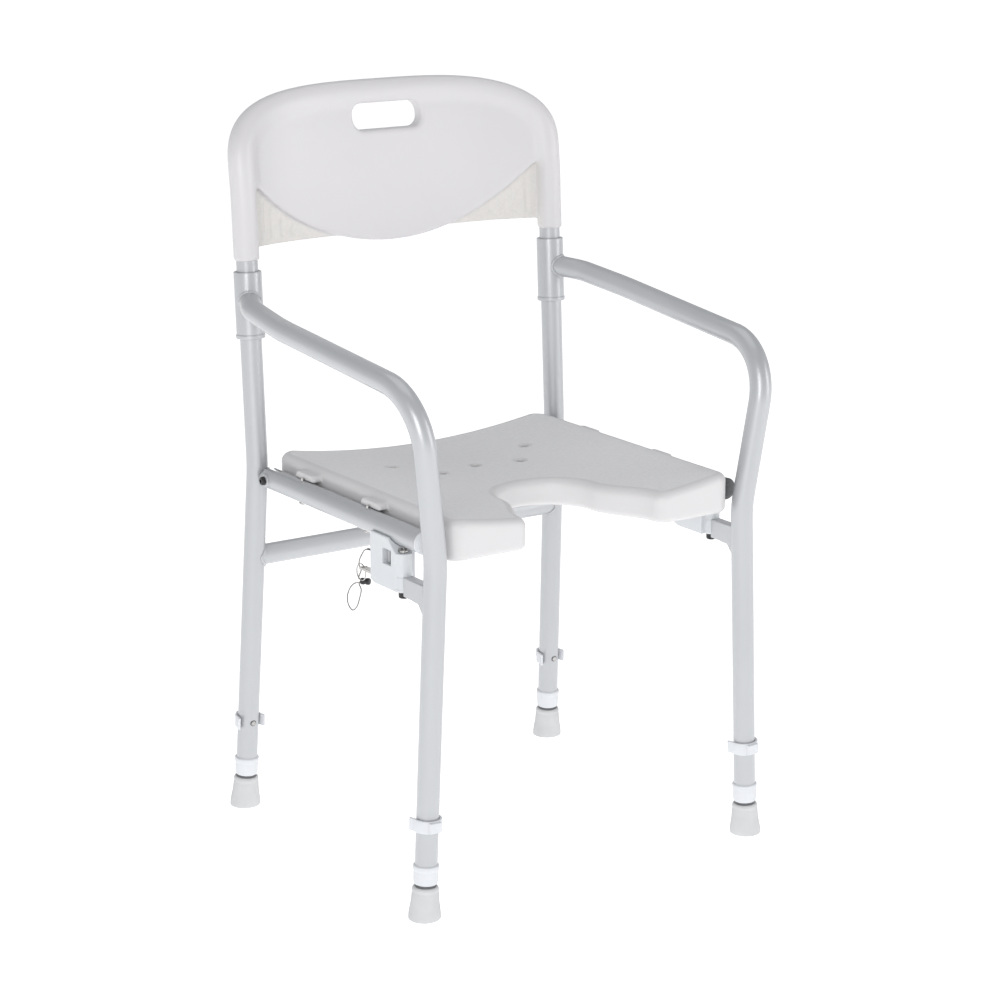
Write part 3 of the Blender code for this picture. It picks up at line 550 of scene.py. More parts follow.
def strands(path, r, name):
    """Six wires laid round a core, following the path."""
    fr = frames_of(path, Vector((1, 0, 0)))
    bm = bmesh.new()
    along = 0.0
    dist = [0.0]
    for a, b in zip(path[:-1], path[1:]):
        along += (b - a).length
        dist.append(along)
    wire = r * 0.36
    sweep(path, r * 0.55, sides=8, first=Vector((1, 0, 0)), bm=bm)
    for w in range(6):
        line = []
        for p, (u, v), d in zip(path, fr, dist):
            a = 2 * math.pi * (w / 6 + d / 6.0)
            line.append(p + u * ((r - wire) * math.cos(a)) + v * ((r - wire) * math.sin(a)))
        sweep(line, wire, sides=6, first=Vector((1, 0, 0)), bm=bm)
    return finish_mesh(name, bm, WIRE, sharp=None)


path_a = resampled(catmull(route_a, 12), 0.7)
path_b = resampled(catmull(route_b, 12), 0.7)
cord_a = strands(path_a, CABLE_R, "lanyard_wire")
cord_b = strands(path_b, CABLE_R, "lanyard_wire_loop")

ferrule = finish_mesh(
    "lanyard_crimp",
    lathe(soft([(0, -5.5), (3.3, -5.5), (3.9, -4.4), (3.9, -1.6), (3.35, -1.0), (3.35, 1.0), (3.9, 1.6), (3.9, 4.4), (3.3, 5.5), (0, 5.5)], 0.5), ferrule_c, ferrule_dir, 40),
    NUT,
)
place(ferrule, "lock", "lanyard_ferrule")
RING_R = 9.6
eye = P(-PIN_X, -270.5, PIN_Z)
ring_c = eye + Vector((0, 0.76, -0.65)) * RING_R
ring_path = []
for k in range(145):
    a = 4 * math.pi * k / 144
    off = -0.42 + 0.84 * min(1.0, max(0.0, (a / (4 * math.pi) - 0.4) / 0.2))
    ring_path.append(ring_c + Vector((off, 0, 0)) + (Vector((0, math.cos(a + 0.9), math.sin(a + 0.9)))) * RING_R)
ring = finish_mesh("split_ring", sweep(ring_path, 0.42, sides=12, first=Vector((1, 0, 0))), STEEL)
place(ring, "lock", "pin_ring")
# dark sleeve where the wire enters the saddle
stub = finish_mesh("lanyard_anchor_sleeve", sweep([path_a[i] for i in range(0, 15)], 1.15, sides=16), NUT)
place(stub, "lock")
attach(cord_a, "lock")
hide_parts("lanyard_cable")
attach(cord_b, "lock")
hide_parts("lanyard_loop")

# ------------------------------------------------------------------ rear uprights and cross-bar
for label, s in SIDES:
    foot, bend, top = side(REAR_FOOT, s), side(REAR_BEND, s), side(REAR_TOP, s)
    path = rounded_path([on_leg(s, True, BUSH_Z[1] + 0.3), bend, top], [260.0], math.radians(1))
    up = finish_mesh("upright_tube_" + label, sweep(path, TUBE_R, TUBE_R - 1.3, sides=56), TUBE)
    place(up, "frame", "rear_upright_" + label)

bar_y = REAR_BEND[1] * CROSSBAR_Z / REAR_BEND[2]
bar_x = on_leg(1, True, CROSSBAR_Z).x
bar = finish_mesh("cross_tube", sweep([P(-bar_x + 4, bar_y, CROSSBAR_Z), P(0, bar_y, CROSSBAR_Z), P(bar_x - 4, bar_y, CROSSBAR_Z)], TUBE_R - 0.4, sides=56, first=Vector((0, 0, 1))), TUBE)
place(bar, "frame", "rear_crossbar")


def bead_on_cylinder(name, tube_at, tube_dir, tube_r, post_at, post_dir, post_r, bead, body, seed):
    """Weld bead where a tube runs into a post: follows the true line where the two cylinders meet."""
    tube_dir, post_dir = tube_dir.normalized(), post_dir.normalized()
    u = tube_dir.orthogonal().normalized()
    v = tube_dir.cross(u)
    pts = []
    n = 96
    for k in range(n):
        a = 2 * math.pi * k / n
        p0 = tube_at + (u * math.cos(a) + v * math.sin(a)) * (tube_r + 0.2)
        w = p0 - post_at
        w = w - post_dir * w.dot(post_dir)
        d = tube_dir - post_dir * tube_dir.dot(post_dir)
        A, B, C = d.dot(d), 2 * w.dot(d), w.dot(w) - (post_r + 0.2) ** 2
        disc = B * B - 4 * A * C
        if disc < 0:
            disc = 0.0
        t = (-B - math.sqrt(disc)) / (2 * A)
        pts.append(p0 + tube_dir * t)
    rng = np.random.default_rng(seed)
    ripple = [bead * (1 + 0.07 * math.sin(k * 1.31 + seed) + 0.03 * float(rng.normal())) for k in range(n)]
    bm = bmesh.new()
    sweep(pts, lambda i: ripple[i], sides=14, closed=True, bm=bm)
    obj = finish_mesh(name, bm, WELD, sharp=None)
    return place(obj, body)


for label, s in SIDES:
    a, d = leg_axis(s, True)
    bead_on_cylinder("weld_crossbar_" + label, P(0, bar_y, CROSSBAR_Z), Vector((s, 0, 0)), TUBE_R - 0.4, on_leg(s, True, CROSSBAR_Z), d, TUBE_R, 1.9, "frame", 3 + s)

# ------------------------------------------------------------------ side frames and collars
for label, s in SIDES:
    end = on_leg(s, False, BUSH_Z[1] + 0.3)
    pts = [side(q, s) for q in (ARM_ROOT, ARM_ROOT_BEND, ARM_REAR, ARM_FRONT, FRONT_BEND)] + [end]
    path = rounded_path(pts, [60.0, 260.0, 66.0, 168.0], math.radians(2.5))
    up_dir = (side(REAR_TOP, s) - side(REAR_BEND, s)).normalized()
    mid = upright_at(s, 628)
    arm = finish_mesh("arm_and_leg_tube_" + label, sweep(path, TUBE_R, TUBE_R - 1.3, sides=56), TUBE)
    cut(arm, [tool(rod(mid - up_dir * 45, mid + up_dir * 45, COLLAR_R - 0.6, 64))])
    place(arm, "frame", "side_frame_" + label)
    root_dir = (path[1] - path[0]).normalized()
    bead_on_cylinder("weld_arm_" + label, path[0] + root_dir * 60, -root_dir, TUBE_R, mid, up_dir, COLLAR_R, 1.7, "frame", 11 + s)
    lo, hi = upright_at(s, COLLAR_Z[0]), upright_at(s, COLLAR_Z[1])
    L = (hi - lo).length
    inner = TUBE_R + 0.15
    prof = soft([(inner, 0), (COLLAR_R + 0.8, 0), (COLLAR_R + 0.8, 4.2), (COLLAR_R, 5.4), (COLLAR_R, L), (inner, L)], 1.2, 5)
    collar = finish_mesh("arm_sleeve_" + label, lathe(prof, lo, up_dir, 72), TUBE)
    place(collar, "frame", "arm_collar_" + label)

# ------------------------------------------------------------------ telescopic feet, bushes and clips
for label, s in SIDES:
    for rear in (True, False):
        tag = ("rear_" if rear else "front_") + label
        a, d = leg_axis(s, rear)
        k = 1 / d.z
        out = Vector((0, 1 if rear else -1, 0))
        out = (out - d * out.dot(d)).normalized()
        across = d.cross(out)
        bush = soft([(EXT_R + 0.3, 41 * k), (12.9, 41 * k), (13.9, 44.5 * k), (14.0, 57 * k), (14.6, 58.2 * k), (14.6, 62.2 * k), (13.2, 63.4 * k), (EXT_R + 0.3, 63.4 * k)], 0.7)
        place(finish_mesh("leg_end_bush_" + tag, lathe(bush, a, d), CLIP_PALE), "frame", "leg_bush_" + tag)

        # inner tube with its two rows of holes
        ext = finish_mesh("inner_leg_tube_" + tag, lathe([(EXT_R - 1.2, 7), (EXT_R, 7), (EXT_R, EXT_TOP * k), (EXT_R - 1.2, EXT_TOP * k)], a, d, 56), INNER)
        holes = [tool(rod(on_leg(s, rear, CLIP_Z) + d * (25.4 * i) - out * 16, on_leg(s, rear, CLIP_Z) + d * (25.4 * i) + out * 16, 3.3, 20)) for i in range(0, 6)]
        cut(ext, holes)
        place(ext, "foot_" + tag, "leg_extension_" + tag)

        # rubber tip: bell with a rolled lip, a grip band and a cushioned base
        prof = [(0, -6), (18.2, -6), (18.25, 2.0), (18.1, 6), (17.5, 10.5), (16.7, 15), (16.0, 20), (15.5, 25), (15.2, 29.5), (14.7, 32), (14.9, 33), (14.95, 35.0), (14.4, 36.6), (13.4, 37.6), (12.4, 38.0), (EXT_R + 0.2, 37.4), (EXT_R + 0.2, 6.8), (0, 6.8)]
        bm = lathe(soft(prof, 0.6, 3), a, d, 72)
        bmesh.ops.recalc_face_normals(bm, faces=bm.faces)
        bmesh.ops.bisect_plane(bm, geom=bm.verts[:] + bm.edges[:] + bm.faces[:], plane_co=(0, 0, 0.0), plane_no=(0, 0, -1), clear_outer=True)
        bmesh.ops.contextual_create(bm, geom=[e for e in bm.edges if e.is_boundary])
        tip = finish_mesh("rubber_tip_" + tag, bm, RUBBER, sharp=50)
        bev = tip.modifiers.new("bevel", "BEVEL")
        bev.width = 0.0011
        bev.segments = 3
        bev.limit_method = "ANGLE"
        bev.angle_limit = math.radians(60)
        applied(tip)
        tip.data.shade_smooth()
        place(tip, "foot_" + tag, "foot_tip_" + tag)
        # dark ring round the inner tube between bush and tip: painted shadow in the gap between them
        painted_shadow_ring = finish_mesh("tube_shadow_ring_" + tag, lathe(soft([(EXT_R, 38.2), (EXT_R + 1.0, 38.2), (EXT_R + 1.0, 40.2), (EXT_R, 40.2)], 0.3), a, d, 56), PLUG)
        place(painted_shadow_ring, "foot_" + tag)

        # height clip: sprung U with flared ends, a thumb pad and a pin through the tube
        c = on_leg(s, rear, CLIP_Z)
        line, normals, widths = [], [], []
        rr = TUBE_R + 1.9
        plan = [(-1, -9.2, 2.6), (-1, -7.6, 1.7), (-1, -5.4, 0.7), (-1, -3.0, 0.15)]
        for sx, yy, fl in plan:
            line.append((-(rr + fl), yy))
        line += [(-rr * math.cos(math.pi * i / 28), rr * math.sin(math.pi * i / 28)) for i in range(29)]
        for sx, yy, fl in reversed(plan):
            line.append((rr + fl, yy))
        path = [c + across * x + out * y for x, y in line]
        tang = [(path[min(i + 1, len(path) - 1)] - path[max(i - 1, 0)]).normalized() for i in range(len(path))]
        normals = [t.cross(d).normalized() for t in tang]
        widths = [1.0] * len(path)
        bm = ribbon(path, normals, widths, 1.5, 7.3, d)
        clip = finish_mesh("height_lock_clip_" + tag, bm, CLIP_PALE)
        pad_loop = soft([(-8.0, -6.2), (8.0, -6.2), (8.0, 6.2), (-8.0, 6.2)], 3.0, 5)
        bm = bmesh.new()
        levels = [(rr - 1.0, 1.0), (rr + 2.6, 1.0), (rr + 3.4, 0.96), (rr + 3.9, 0.88)]
        rows = []
        for lev, sc in levels:
            rows.append([bm.verts.new(c + across * (x * sc) + out * lev + d * (y * sc)) for x, y in pad_loop])
        for lo_, hi_ in zip(rows[:-1], rows[1:]):
            for i in range(len(pad_loop)):
                j = (i + 1) % len(pad_loop)
                bm.faces.new((lo_[i], lo_[j], hi_[j], hi_[i]))
        bm.faces.new(rows[0])
        bm.faces.new(rows[-1])
        pad = finish_mesh("clip_thumb_pad_" + tag, bm, CLIP_PALE)
        pin = finish_mesh("clip_pin_" + tag, lathe(soft([(0, -13.9), (2.6, -13.9), (2.9, -13.2), (2.9, rr), (0, rr)], 0.3), c, out, 28), STEEL)
        place(clip, "clip_" + tag, "height_clip_" + tag)
        place(pad, "clip_" + tag)
        place(pin, "clip_" + tag)
        # dark ring round the pin where it comes through the outer tube: painted shade of the hole's gap
        shade_ring = finish_mesh("pin_hole_painted_shade_" + tag, lathe(soft([(3.0, TUBE_R - 0.6), (4.0, TUBE_R - 0.6), (3.7, TUBE_R + 0.12), (3.1, TUBE_R + 0.12)], 0.1, 2), c, -out, 32), PLUG)
        place(shade_ring, "frame")

# ------------------------------------------------------------------ seat rails, plugs, screws and pivots
for label, s in SIDES:
    rail = finish_mesh("rail_tube_" + label, sweep([P(s * RAIL_X, PIVOT_Y + TUBE_R, RAIL_Z), P(s * RAIL_X, RAIL_FRONT, RAIL_Z)], TUBE_R, TUBE_R - 1.8, sides=56, first=Vector((0, 0, 1))), TUBE)
    outline = [(RAIL_FRONT - 10, RAIL_Z - 14), (PIVOT_Y - 1, RAIL_Z - 14)] + arc(PIVOT_Y, RAIL_Z, TUBE_R, -90, 90, 24) + [(PIVOT_Y - 1, RAIL_Z + 14), (RAIL_FRONT - 10, RAIL_Z + 14)]
    cut(rail, [tool(prism(outline, s * RAIL_X - 16, s * RAIL_X + 16))], "INTERSECT")
    box_loop = [(PIVOT_Y - 17, RAIL_Z - 20), (PIVOT_Y + 20, RAIL_Z - 20), (PIVOT_Y + 20, RAIL_Z + 20), (PIVOT_Y - 17, RAIL_Z + 20)]
    cut(rail, [tool(prism(box_loop, s * RAIL_X - 3.2, s * RAIL_X + 3.2))])
    place(rail, "seat", "seat_rail_" + label)
    # raised pressed eye round the pivot hole, and the bolt's socket head
    for ss in (1, -1):
        eye_at = P(s * RAIL_X + ss * (TUBE_R - 1.4), PIVOT_Y, RAIL_Z)
        bossp = soft([(3.6, 0), (8.4, 0), (7.6, 1.9), (5.6, 2.3), (4.0, 2.3), (3.6, 1.6)], 0.5)
        place(finish_mesh(f"pivot_eye_{label}_{'outer' if ss == s else 'inner'}", lathe(bossp, eye_at, Vector((ss, 0, 0)), 48), TUBE), "seat")
    headp = soft([(0, 0.9), (1.9, 0.9), (2.0, -1.6), (3.9, -1.6), (4.9, -0.6), (5.3, 2.6), (3.0, 3.4), (3.0, 29.4), (0, 29.4)], 0.35)
    bolt = finish_mesh("pivot_bolt_head_" + label, lathe([(r, -h) for r, h in headp], P(s * (RAIL_X + TUBE_R + 3.6), PIVOT_Y, RAIL_Z), Vector((s, 0, 0)), 48), NUT)
    place(bolt, "seat", "pivot_bolt_" + label)
    plug_prof = [(0, 1), (9.6, 1), (9.6, 19.4), (TUBE_R - 0.2, 19.8), (12.9, 20.6), (12.9, 22.4), (12.2, 23.6), (11.6, 23.4), (11.2, 24.4), (10.2, 25.1), (9.6, 24.8), (9.2, 25.6), (8.0, 26.1), (7.4, 25.8), (6.9, 26.4), (5.2, 26.7), (4.6, 26.3), (4.0, 26.8), (2.0, 27.0), (0, 27.0)]
    plug = finish_mesh("rail_end_plug_" + label, lathe(soft(plug_prof, 0.35, 2), P(s * RAIL_X, RAIL_FRONT + 19.7, RAIL_Z), Vector((0, -1, 0)), 56), CLIP_PALE if s < 0 else PLUG)
    place(plug, "seat", "rail_plug_" + label)
    for i, y in enumerate((-124.0, -269.0)):
        tag = f"{label}_{'rear' if i == 0 else 'front'}"
        prof = soft([(0, 1.3), (1.5, 1.3), (2.1, 0), (4.2, 1.2), (4.4, 2.7), (2.0, 3.0), (2.0, 31.4), (0, 31.4)], 0.3)
        place(finish_mesh("seat_fixing_" + tag, lathe(prof, P(s * RAIL_X, y, RAIL_Z - TUBE_R - 2.9), Vector((0, 0, 1)), 32), STEEL), "seat", "seat_screw_" + tag)
    # weld fillets of the pivot plate
    lug = remeshed_copy("pivot_plate_" + label, "pivot_lug_" + label, 0.7, 4, TUBE)
    place(lug, "frame", "pivot_lug_" + label)
    a, d = leg_axis(s, True)
    for ss in (-1, 1):
        line = []
        for kk in range(13):
            z = RAIL_Z - 9.5 + 19 * kk / 12
            cc = on_leg(s, True, z) if z < 430 else upright_at(s, z)
            xx = s * RAIL_X + ss * 2.4
            dx = xx - cc.x
            line.append(Vector((xx + ss * 0.6, cc.y - math.sqrt(max(0.0, TUBE_R ** 2 - dx * dx)) - 0.3, z)))
        place(finish_mesh(f"weld_pivot_{label}_{'a' if ss < 0 else 'b'}", sweep(line, lambda i: 1.5 + 0.15 * math.sin(2.2 * i), sides=12), WELD, sharp=None), "frame")

keeper = remeshed_copy("keeper_plate", "rail_keeper_left", 0.5, 3, TUBE)
place(keeper, "seat", "rail_keeper_left")

# ------------------------------------------------------------------ saddles, stubs, bolts and nuts
for label, s in SIDES:
    saddle = remeshed_copy("saddle_block_" + label, "rail_saddle_" + label, 0.6, 6, CLIP)
    place(saddle, "frame", "rail_saddle_" + label)
    stub_ = remeshed_copy("leg_stub_" + label, "leg_lug_" + label, 0.8, 5, TUBE)
    place(stub_, "frame", "leg_lug_" + label)
    # raised barrel band and the line where the saddle's two halves meet
    bandp = soft([(BARREL_R - 0.6, 0.6), (BARREL_R + 0.7, 0.6), (BARREL_R + 0.9, 2.6), (BARREL_R + 0.35, 4.0), (BARREL_R + 0.35, 17.0), (BARREL_R - 0.6, 17.4)], 0.4)
    place(finish_mesh("saddle_barrel_band_" + label, lathe(bandp, P(s * PIN_X, BARREL_Y, SADDLE_BOTTOM + 0.2), Vector((0, 0, 1)), 56), CLIP), "frame")
    nutp = soft([(3.3, 1.2), (4.3, 0.2), (5.4, 0.9), (5.8, 2.4), (5.8, 7.6), (3.3, 7.6)], 0.5)
    place(finish_mesh("cap_nut_" + label, lathe([(0, 0.2)] + nutp + [(0, 7.6)], P(s * PIN_X, BARREL_Y, SADDLE_BOTTOM - 8.0), Vector((0, 0, 1)), 6 * 8), NUT), "frame", "saddle_nut_" + label)
    boltp = soft([(0, 1), (3.0, 1), (3.0, 52), (5.0, 52), (5.0, 54.2), (3.8, 55.6), (2.2, 55.6), (2.0, 53.8), (0, 53.8)], 0.3)
    place(finish_mesh("saddle_screw_" + label, lathe(boltp, P(s * PIN_X, BARREL_Y, 350.6), Vector((0, 0, 1)), 40), STEEL), "frame", "saddle_bolt_" + label)
    a, d = leg_axis(s, False)
    # fillet weld round the stub's root on the leg
    c = on_leg(s, False, 359)
    loop = []
    for hx, hz in [(6.2, 18)]:
        for kk in range(48):
            t = 2 * math.pi * kk / 48
            ex, ez = math.cos(t), math.sin(t)
            n_ = 4.0
            x = s * (PIN_X - 0.25) + hx * math.copysign(abs(ex) ** (2 / n_), ex)
            z = 359 + hz * math.copysign(abs(ez) ** (2 / n_), ez)
            cc = on_leg(s, False, z)
            dx = x - cc.x
            loop.append(Vector((x, cc.y + math.sqrt(max(0.0, TUBE_R ** 2 - dx * dx)) + 0.4, z)))
    place(finish_mesh("weld_stub_" + label, sweep(loop, lambda i: 1.5 + 0.12 * math.sin(1.9 * i), sides=12, closed=True, first=Vector((0, 0, 1))), WELD, sharp=None), "frame")

# lock pin with a plain round head, its knurling not modelled, and a flat eye
pinp = soft([(0, -43.5), (1.6, -43.5), (3.0, -41), (3.0, 0.4), (5.2, 0.4), (5.6, 1.4), (5.6, 8.0), (5.0, 9.2), (3.4, 9.4), (3.0, 12.5), (0, 12.5)], 0.4)
pin = finish_mesh("pull_pin", lathe(pinp, pin_axis, Vector((0, 1, 0)), 40), STEEL)
place(pin, "lock", "lock_pin")
bm = bmesh.new()
tab_out = []
loop = soft([(-4.4, -290), (4.4, -290), (4.4, -266), (-4.4, -266)], 3.2, 6)
tab = finish_mesh("pin_eye_tab", prism([(-PIN_X + x, y) for x, y in loop], PIN_Z - 1.2, PIN_Z + 1.2, plane="XY"), STEEL)
cut(tab, [tool(rod(P(-PIN_X, -270.5, PIN_Z - 6), P(-PIN_X, -270.5, PIN_Z + 6), 2.7, 28))])
bm.free()
place(tab, "lock")

# ------------------------------------------------------------------ moulded panels as smooth fields
def segments_distance(points, a, b, chunk=4000):
    """Least distance of 2-D or 3-D points to the segments a-b."""
    out = np.full(len(points), 1e9)
    ab = b - a
    l2 = np.maximum((ab ** 2).sum(1), 1e-12)
    for i in range(0, len(points), chunk):
        p = points[i:i + chunk]
        t = np.clip(((p[:, None, :] - a[None]) * ab[None]).sum(2) / l2[None], 0, 1)
        q = a[None] + ab[None] * t[..., None]
        out[i:i + chunk] = np.sqrt(((p[:, None, :] - q) ** 2).sum(2)).min(1)
    return out


def inside_polygon(points, poly):
    x, y = points[:, 0], points[:, 1]
    inside = np.zeros(len(points), bool)
    n = len(poly)
    for i in range(n):
        x0, y0 = poly[i]
        x1, y1 = poly[(i + 1) % n]
        crosses = (y0 > y) != (y1 > y)
        if y0 != y1:
            inside ^= crosses & (x < (x1 - x0) * (y - y0) / (y1 - y0) + x0)
    return inside


def smin(a, b, k):
    h = np.clip(0.5 + 0.5 * (b - a) / k, 0, 1)
    return b * (1 - h) + a * h - k * h * (1 - h)


def smax(a, b, k):
    return -smin(-a, -b, k)


def rounded_meet(a, b, r):
    """Both a < 0 and b < 0, with the edge between them rounded to radius r."""
    qa, qb = a + r, b + r
    return np.sqrt(np.maximum(qa, 0) ** 2 + np.maximum(qb, 0) ** 2) + np.minimum(np.maximum(qa, qb), 0) - r


def settle(obj, field, rounds=5, step=0.9, limit=9.0):
    """Moves every vertex onto the zero of field, in mm, photo-plane coordinates."""
    mesh = obj.data
    co = np.zeros(len(mesh.vertices) * 3)
    mesh.vertices.foreach_get("co", co)
    p = co.reshape(-1, 3) / MM
    p[:, 1] -= Y0
    start = p.copy()
    e = 0.15
    for _ in range(rounds):
        f = field(p)
        g = np.stack([field(p + np.eye(3)[i] * e) - field(p - np.eye(3)[i] * e) for i in range(3)], 1) / (2 * e)
        n2 = np.maximum((g ** 2).sum(1), 0.05)
        move = -(step * f / n2)[:, None] * g
        size = np.linalg.norm(move, axis=1)
        move *= np.minimum(1, 2.5 / np.maximum(size, 1e-9))[:, None]
        p = p + move
        d = p - start
        far = np.linalg.norm(d, axis=1)
        p = start + d * np.minimum(1, limit / np.maximum(far, 1e-9))[:, None]
    out = p.copy()
    out[:, 1] += Y0
    mesh.vertices.foreach_set("co", (out * MM).reshape(-1))
    mesh.update()
    return p


def paint(obj, name, values):
    att = obj.data.attributes.new(name, "FLOAT", "POINT")
    att.data.foreach_set("value", values.astype(np.float32))


SEAT_HALF, SEAT_REAR, SEAT_FRONT = 191.5, -32.0, -416.0
SEAT_BOTTOM, SEAT_SIDE_TOP, SEAT_DISH = 400.5, 446.0, 14.5
CUT_HALF_FRONT, CUT_DEPTH, CUT_HALF = 88.0, 150.0, 58.0


def seat_plan():
    w = SEAT_HALF
    yr, yf = SEAT_REAR, SEAT_FRONT
    rr, rf = 24.0, 20.0
    pts = arc(w - rr, yr - rr, rr, 0, 90, 14) + arc(-w + rr, yr - rr, rr, 90, 180, 14) + arc(-w + rf, yf + rf, rf, 180, 270, 14)
    left = arc(-CUT_HALF_FRONT - 15, yf + 15, 15, 270, 352, 12)
    x0, y0 = left[-1]
    cy = SEAT_FRONT + CUT_DEPTH - CUT_HALF
    flank = []
    for k in range(1, 20):
        f = k / 20
        e = f * f * (3 - 2 * f)
        flank.append((x0 + (-CUT_HALF - x0) * e, y0 + (cy - y0) * f))
    half = arc(0, cy, CUT_HALF, 180, 90, 24)
    hcut = left + flank + half
    pts += hcut + [(-x, y) for x, y in reversed(hcut[:-1])]
    pts += arc(w - rf, yf + rf, rf, 270, 360, 14)
    return np.array(pts)


SEAT_POLY = seat_plan()
SEAT_A, SEAT_B = SEAT_POLY, np.roll(SEAT_POLY, -1, axis=0)
HOLES = ((0, -172), (-55, -186), (55, -186), (-94, -138), (94, -138))
TABS = [(s, y) for _, s in SIDES for y in (-124.0, -269.0)]


def seat_top(x):
    f = np.minimum(1.0, np.abs(x) / 172.0)
    return SEAT_SIDE_TOP - SEAT_DISH * (1 - f * f)


seat_cache = {}


def seat_field(p):
    x, y, z = p[:, 0], p[:, 1], p[:, 2]
    d = segments_distance(p[:, :2], SEAT_A, SEAT_B)
    d = np.where(inside_polygon(p[:, :2], SEAT_POLY), -d, d)
    top = (z - seat_top(x)) * 0.99
    bottom = SEAT_BOTTOM - z
    body = np.maximum(rounded_meet(d, top, 9.0), rounded_meet(d, bottom, 6.0))
    for s, ty in TABS:
        # tab over the rail: arched top, rests on the rail
        dx = np.maximum(s * x - 203.5, (SEAT_HALF - 8) - s * x)
        dy = np.abs(y - ty) - 20.5
        dz = np.maximum(z - 440.3, 432.6 - z)
        ends = rounded_meet(dy, z - 440.3, 6.0)
        tab = rounded_meet(np.maximum(ends, 432.6 - z), dx, 1.2)
        body = smin(body, tab, 2.0)
    for hx, hy in HOLES:
        r = np.sqrt((x - hx) ** 2 + (y - hy) ** 2)
        body = smax(body, 5.4 - r, 2.4)
    return body


def fine_copy(name, node, voxel, mat, fill=None):
    data = NODES[node].data.copy()
    if fill is not None:
        whole = bmesh.new()
        whole.from_mesh(data)
        bmesh.ops.scale(fill, vec=(MM, MM, MM), verts=fill.verts)
        bmesh.ops.recalc_face_normals(fill, faces=fill.faces)
        extra = bpy.data.meshes.new("fill")
        fill.to_mesh(extra)
        fill.free()
        whole.from_mesh(extra)
        whole.to_mesh(data)
        whole.free()
    obj = bpy.data.objects.new(name, data)
    scene.collection.objects.link(obj)
    obj.data.materials.clear()
    weld = obj.modifiers.new("weld", "WELD")
    weld.merge_threshold = 0.00001
    rem = obj.modifiers.new("remesh", "REMESH")
    rem.mode = "VOXEL"
    rem.voxel_size = voxel * MM
    sm = obj.modifiers.new("smooth", "SMOOTH")
    sm.factor = 0.5
    sm.iterations = 3
    applied(obj)
    obj.data.materials.clear()
    obj.data.materials.append(mat)
    return obj


seat = fine_copy("moulded_seat", "seat_panel", 2.0, WHITE_SEAT)
p = settle(seat, seat_field)
d = segments_distance(p[:, :2], SEAT_A, SEAT_B)
d = np.where(inside_polygon(p[:, :2], SEAT_POLY), d, 0)
for hx, hy in HOLES:
    d = np.minimum(d, np.maximum(0, np.sqrt((p[:, 0] - hx) ** 2 + (p[:, 1] - hy) ** 2) - 6.6) * 4 + 0.0)
up_facing = np.clip((p[:, 2] - seat_top(p[:, 0]) + 2.0) / 1.5, 0, 1)
grain = np.clip((d - 8.5) / 3.0, 0, 1) * up_facing
grain = grain * grain * (3 - 2 * grain)
paint(seat, "grain", grain)
seat.data.shade_smooth()
place(seat, "seat", "seat_panel")

# ------------------------------------------------------------------ backrest
BACK_R, BACK_BOTTOM, BACK_HALF, BACK_TOP, BACK_WRAP = 15.0, 674.0, 213.6, 851.0, 28.0


def back_y(x, z):
    rake = REAR_TOP[1] + (z - REAR_TOP[2]) * (REAR_TOP[1] - REAR_BEND[1]) / (REAR_TOP[2] - REAR_BEND[2])
    roll = 0.0013 * np.maximum(0.0, z - 742.0) ** 2
    f = np.minimum(1.0, np.abs(x) / BACK_HALF)
    return rake + roll + BACK_WRAP * (1 - f ** 4)


def rim_line():
    pts = [(-BACK_HALF, z) for z in (BACK_BOTTOM, 700, 728, 752, 774)]
    n = 2 / 3.1
    for k in range(1, 61):
        a = math.pi / 2 * k / 60
        pts.append((-BACK_HALF * math.cos(a) ** n if k < 60 else 0.0, 774.0 + (BACK_TOP - 774.0) * math.sin(a) ** n if k < 60 else BACK_TOP))
    full = pts + [(-x, z) for x, z in reversed(pts[:-1])]
    out = []
    for x, z in full:
        y = float(back_y(np.array(x), np.array(float(z))))
        out.append((x, y, z))
    return np.array(out, float)


RIM = rim_line()
RIM_A, RIM_B = RIM[:-1], RIM[1:]
LENS_EDGE, LENS_LOW = 757.0, 676.0
sag = LENS_EDGE - LENS_LOW
LENS_RADIUS = (195.0 ** 2 + sag ** 2) / (2 * sag)


def crown(x):
    f = np.minimum(0.9999, np.abs(x) / BACK_HALF)
    return 774.0 + (BACK_TOP - 774.0) * (1 - f ** 3.1) ** (1 / 3.1)


def back_parts(p):
    x, y, z = p[:, 0], p[:, 1], p[:, 2]
    mid = back_y(x, z)
    rim = segments_distance(p, RIM_A, RIM_B, 20000) - BACK_R
    rim = rounded_meet(rim, BACK_BOTTOM - z, 2.6)
    # lens: below the crown, above a circular arc
    cz = LENS_LOW + LENS_RADIUS
    arc_d = np.sqrt(x ** 2 + (z - cz) ** 2) - LENS_RADIUS
    arc_d = np.where(z > cz, -LENS_RADIUS, arc_d)
    within = np.maximum(np.maximum(arc_d, (z - crown(x)) * 0.8), np.abs(x) - 206.0)
    dy = y - mid
    thick = np.maximum(-dy - 11.5, dy - 8.0) * 0.97
    lens = rounded_meet(within, thick, 4.2)
    # apron behind the lens with its ladder of grooves
    groove = np.zeros_like(x)
    for k in range(5):
        gx = 186.0 - 15.5 * k
        top = cz - np.sqrt(np.maximum(1.0, LENS_RADIUS ** 2 - gx ** 2)) - 9.0
        g2 = np.sqrt(np.maximum(0, np.abs(np.abs(x) - gx)) ** 2 + np.maximum(0, np.maximum(z - (top - 3.0), 697.0 - z)) ** 2)
        groove = np.maximum(groove, np.clip(1.0 - g2 / 4.2, 0, 1))
    groove = groove * groove * (3 - 2 * groove)
    front = -dy - 3.0 + 1.9 * groove
    face = np.maximum(np.maximum(686.0 - z, arc_d * 0 + z - (crown(x) - 6)), np.abs(x) - 205.0)
    apron = rounded_meet(face, np.maximum(front, dy - 6.5) * 0.97, 1.6)
    return rim, lens, apron, arc_d


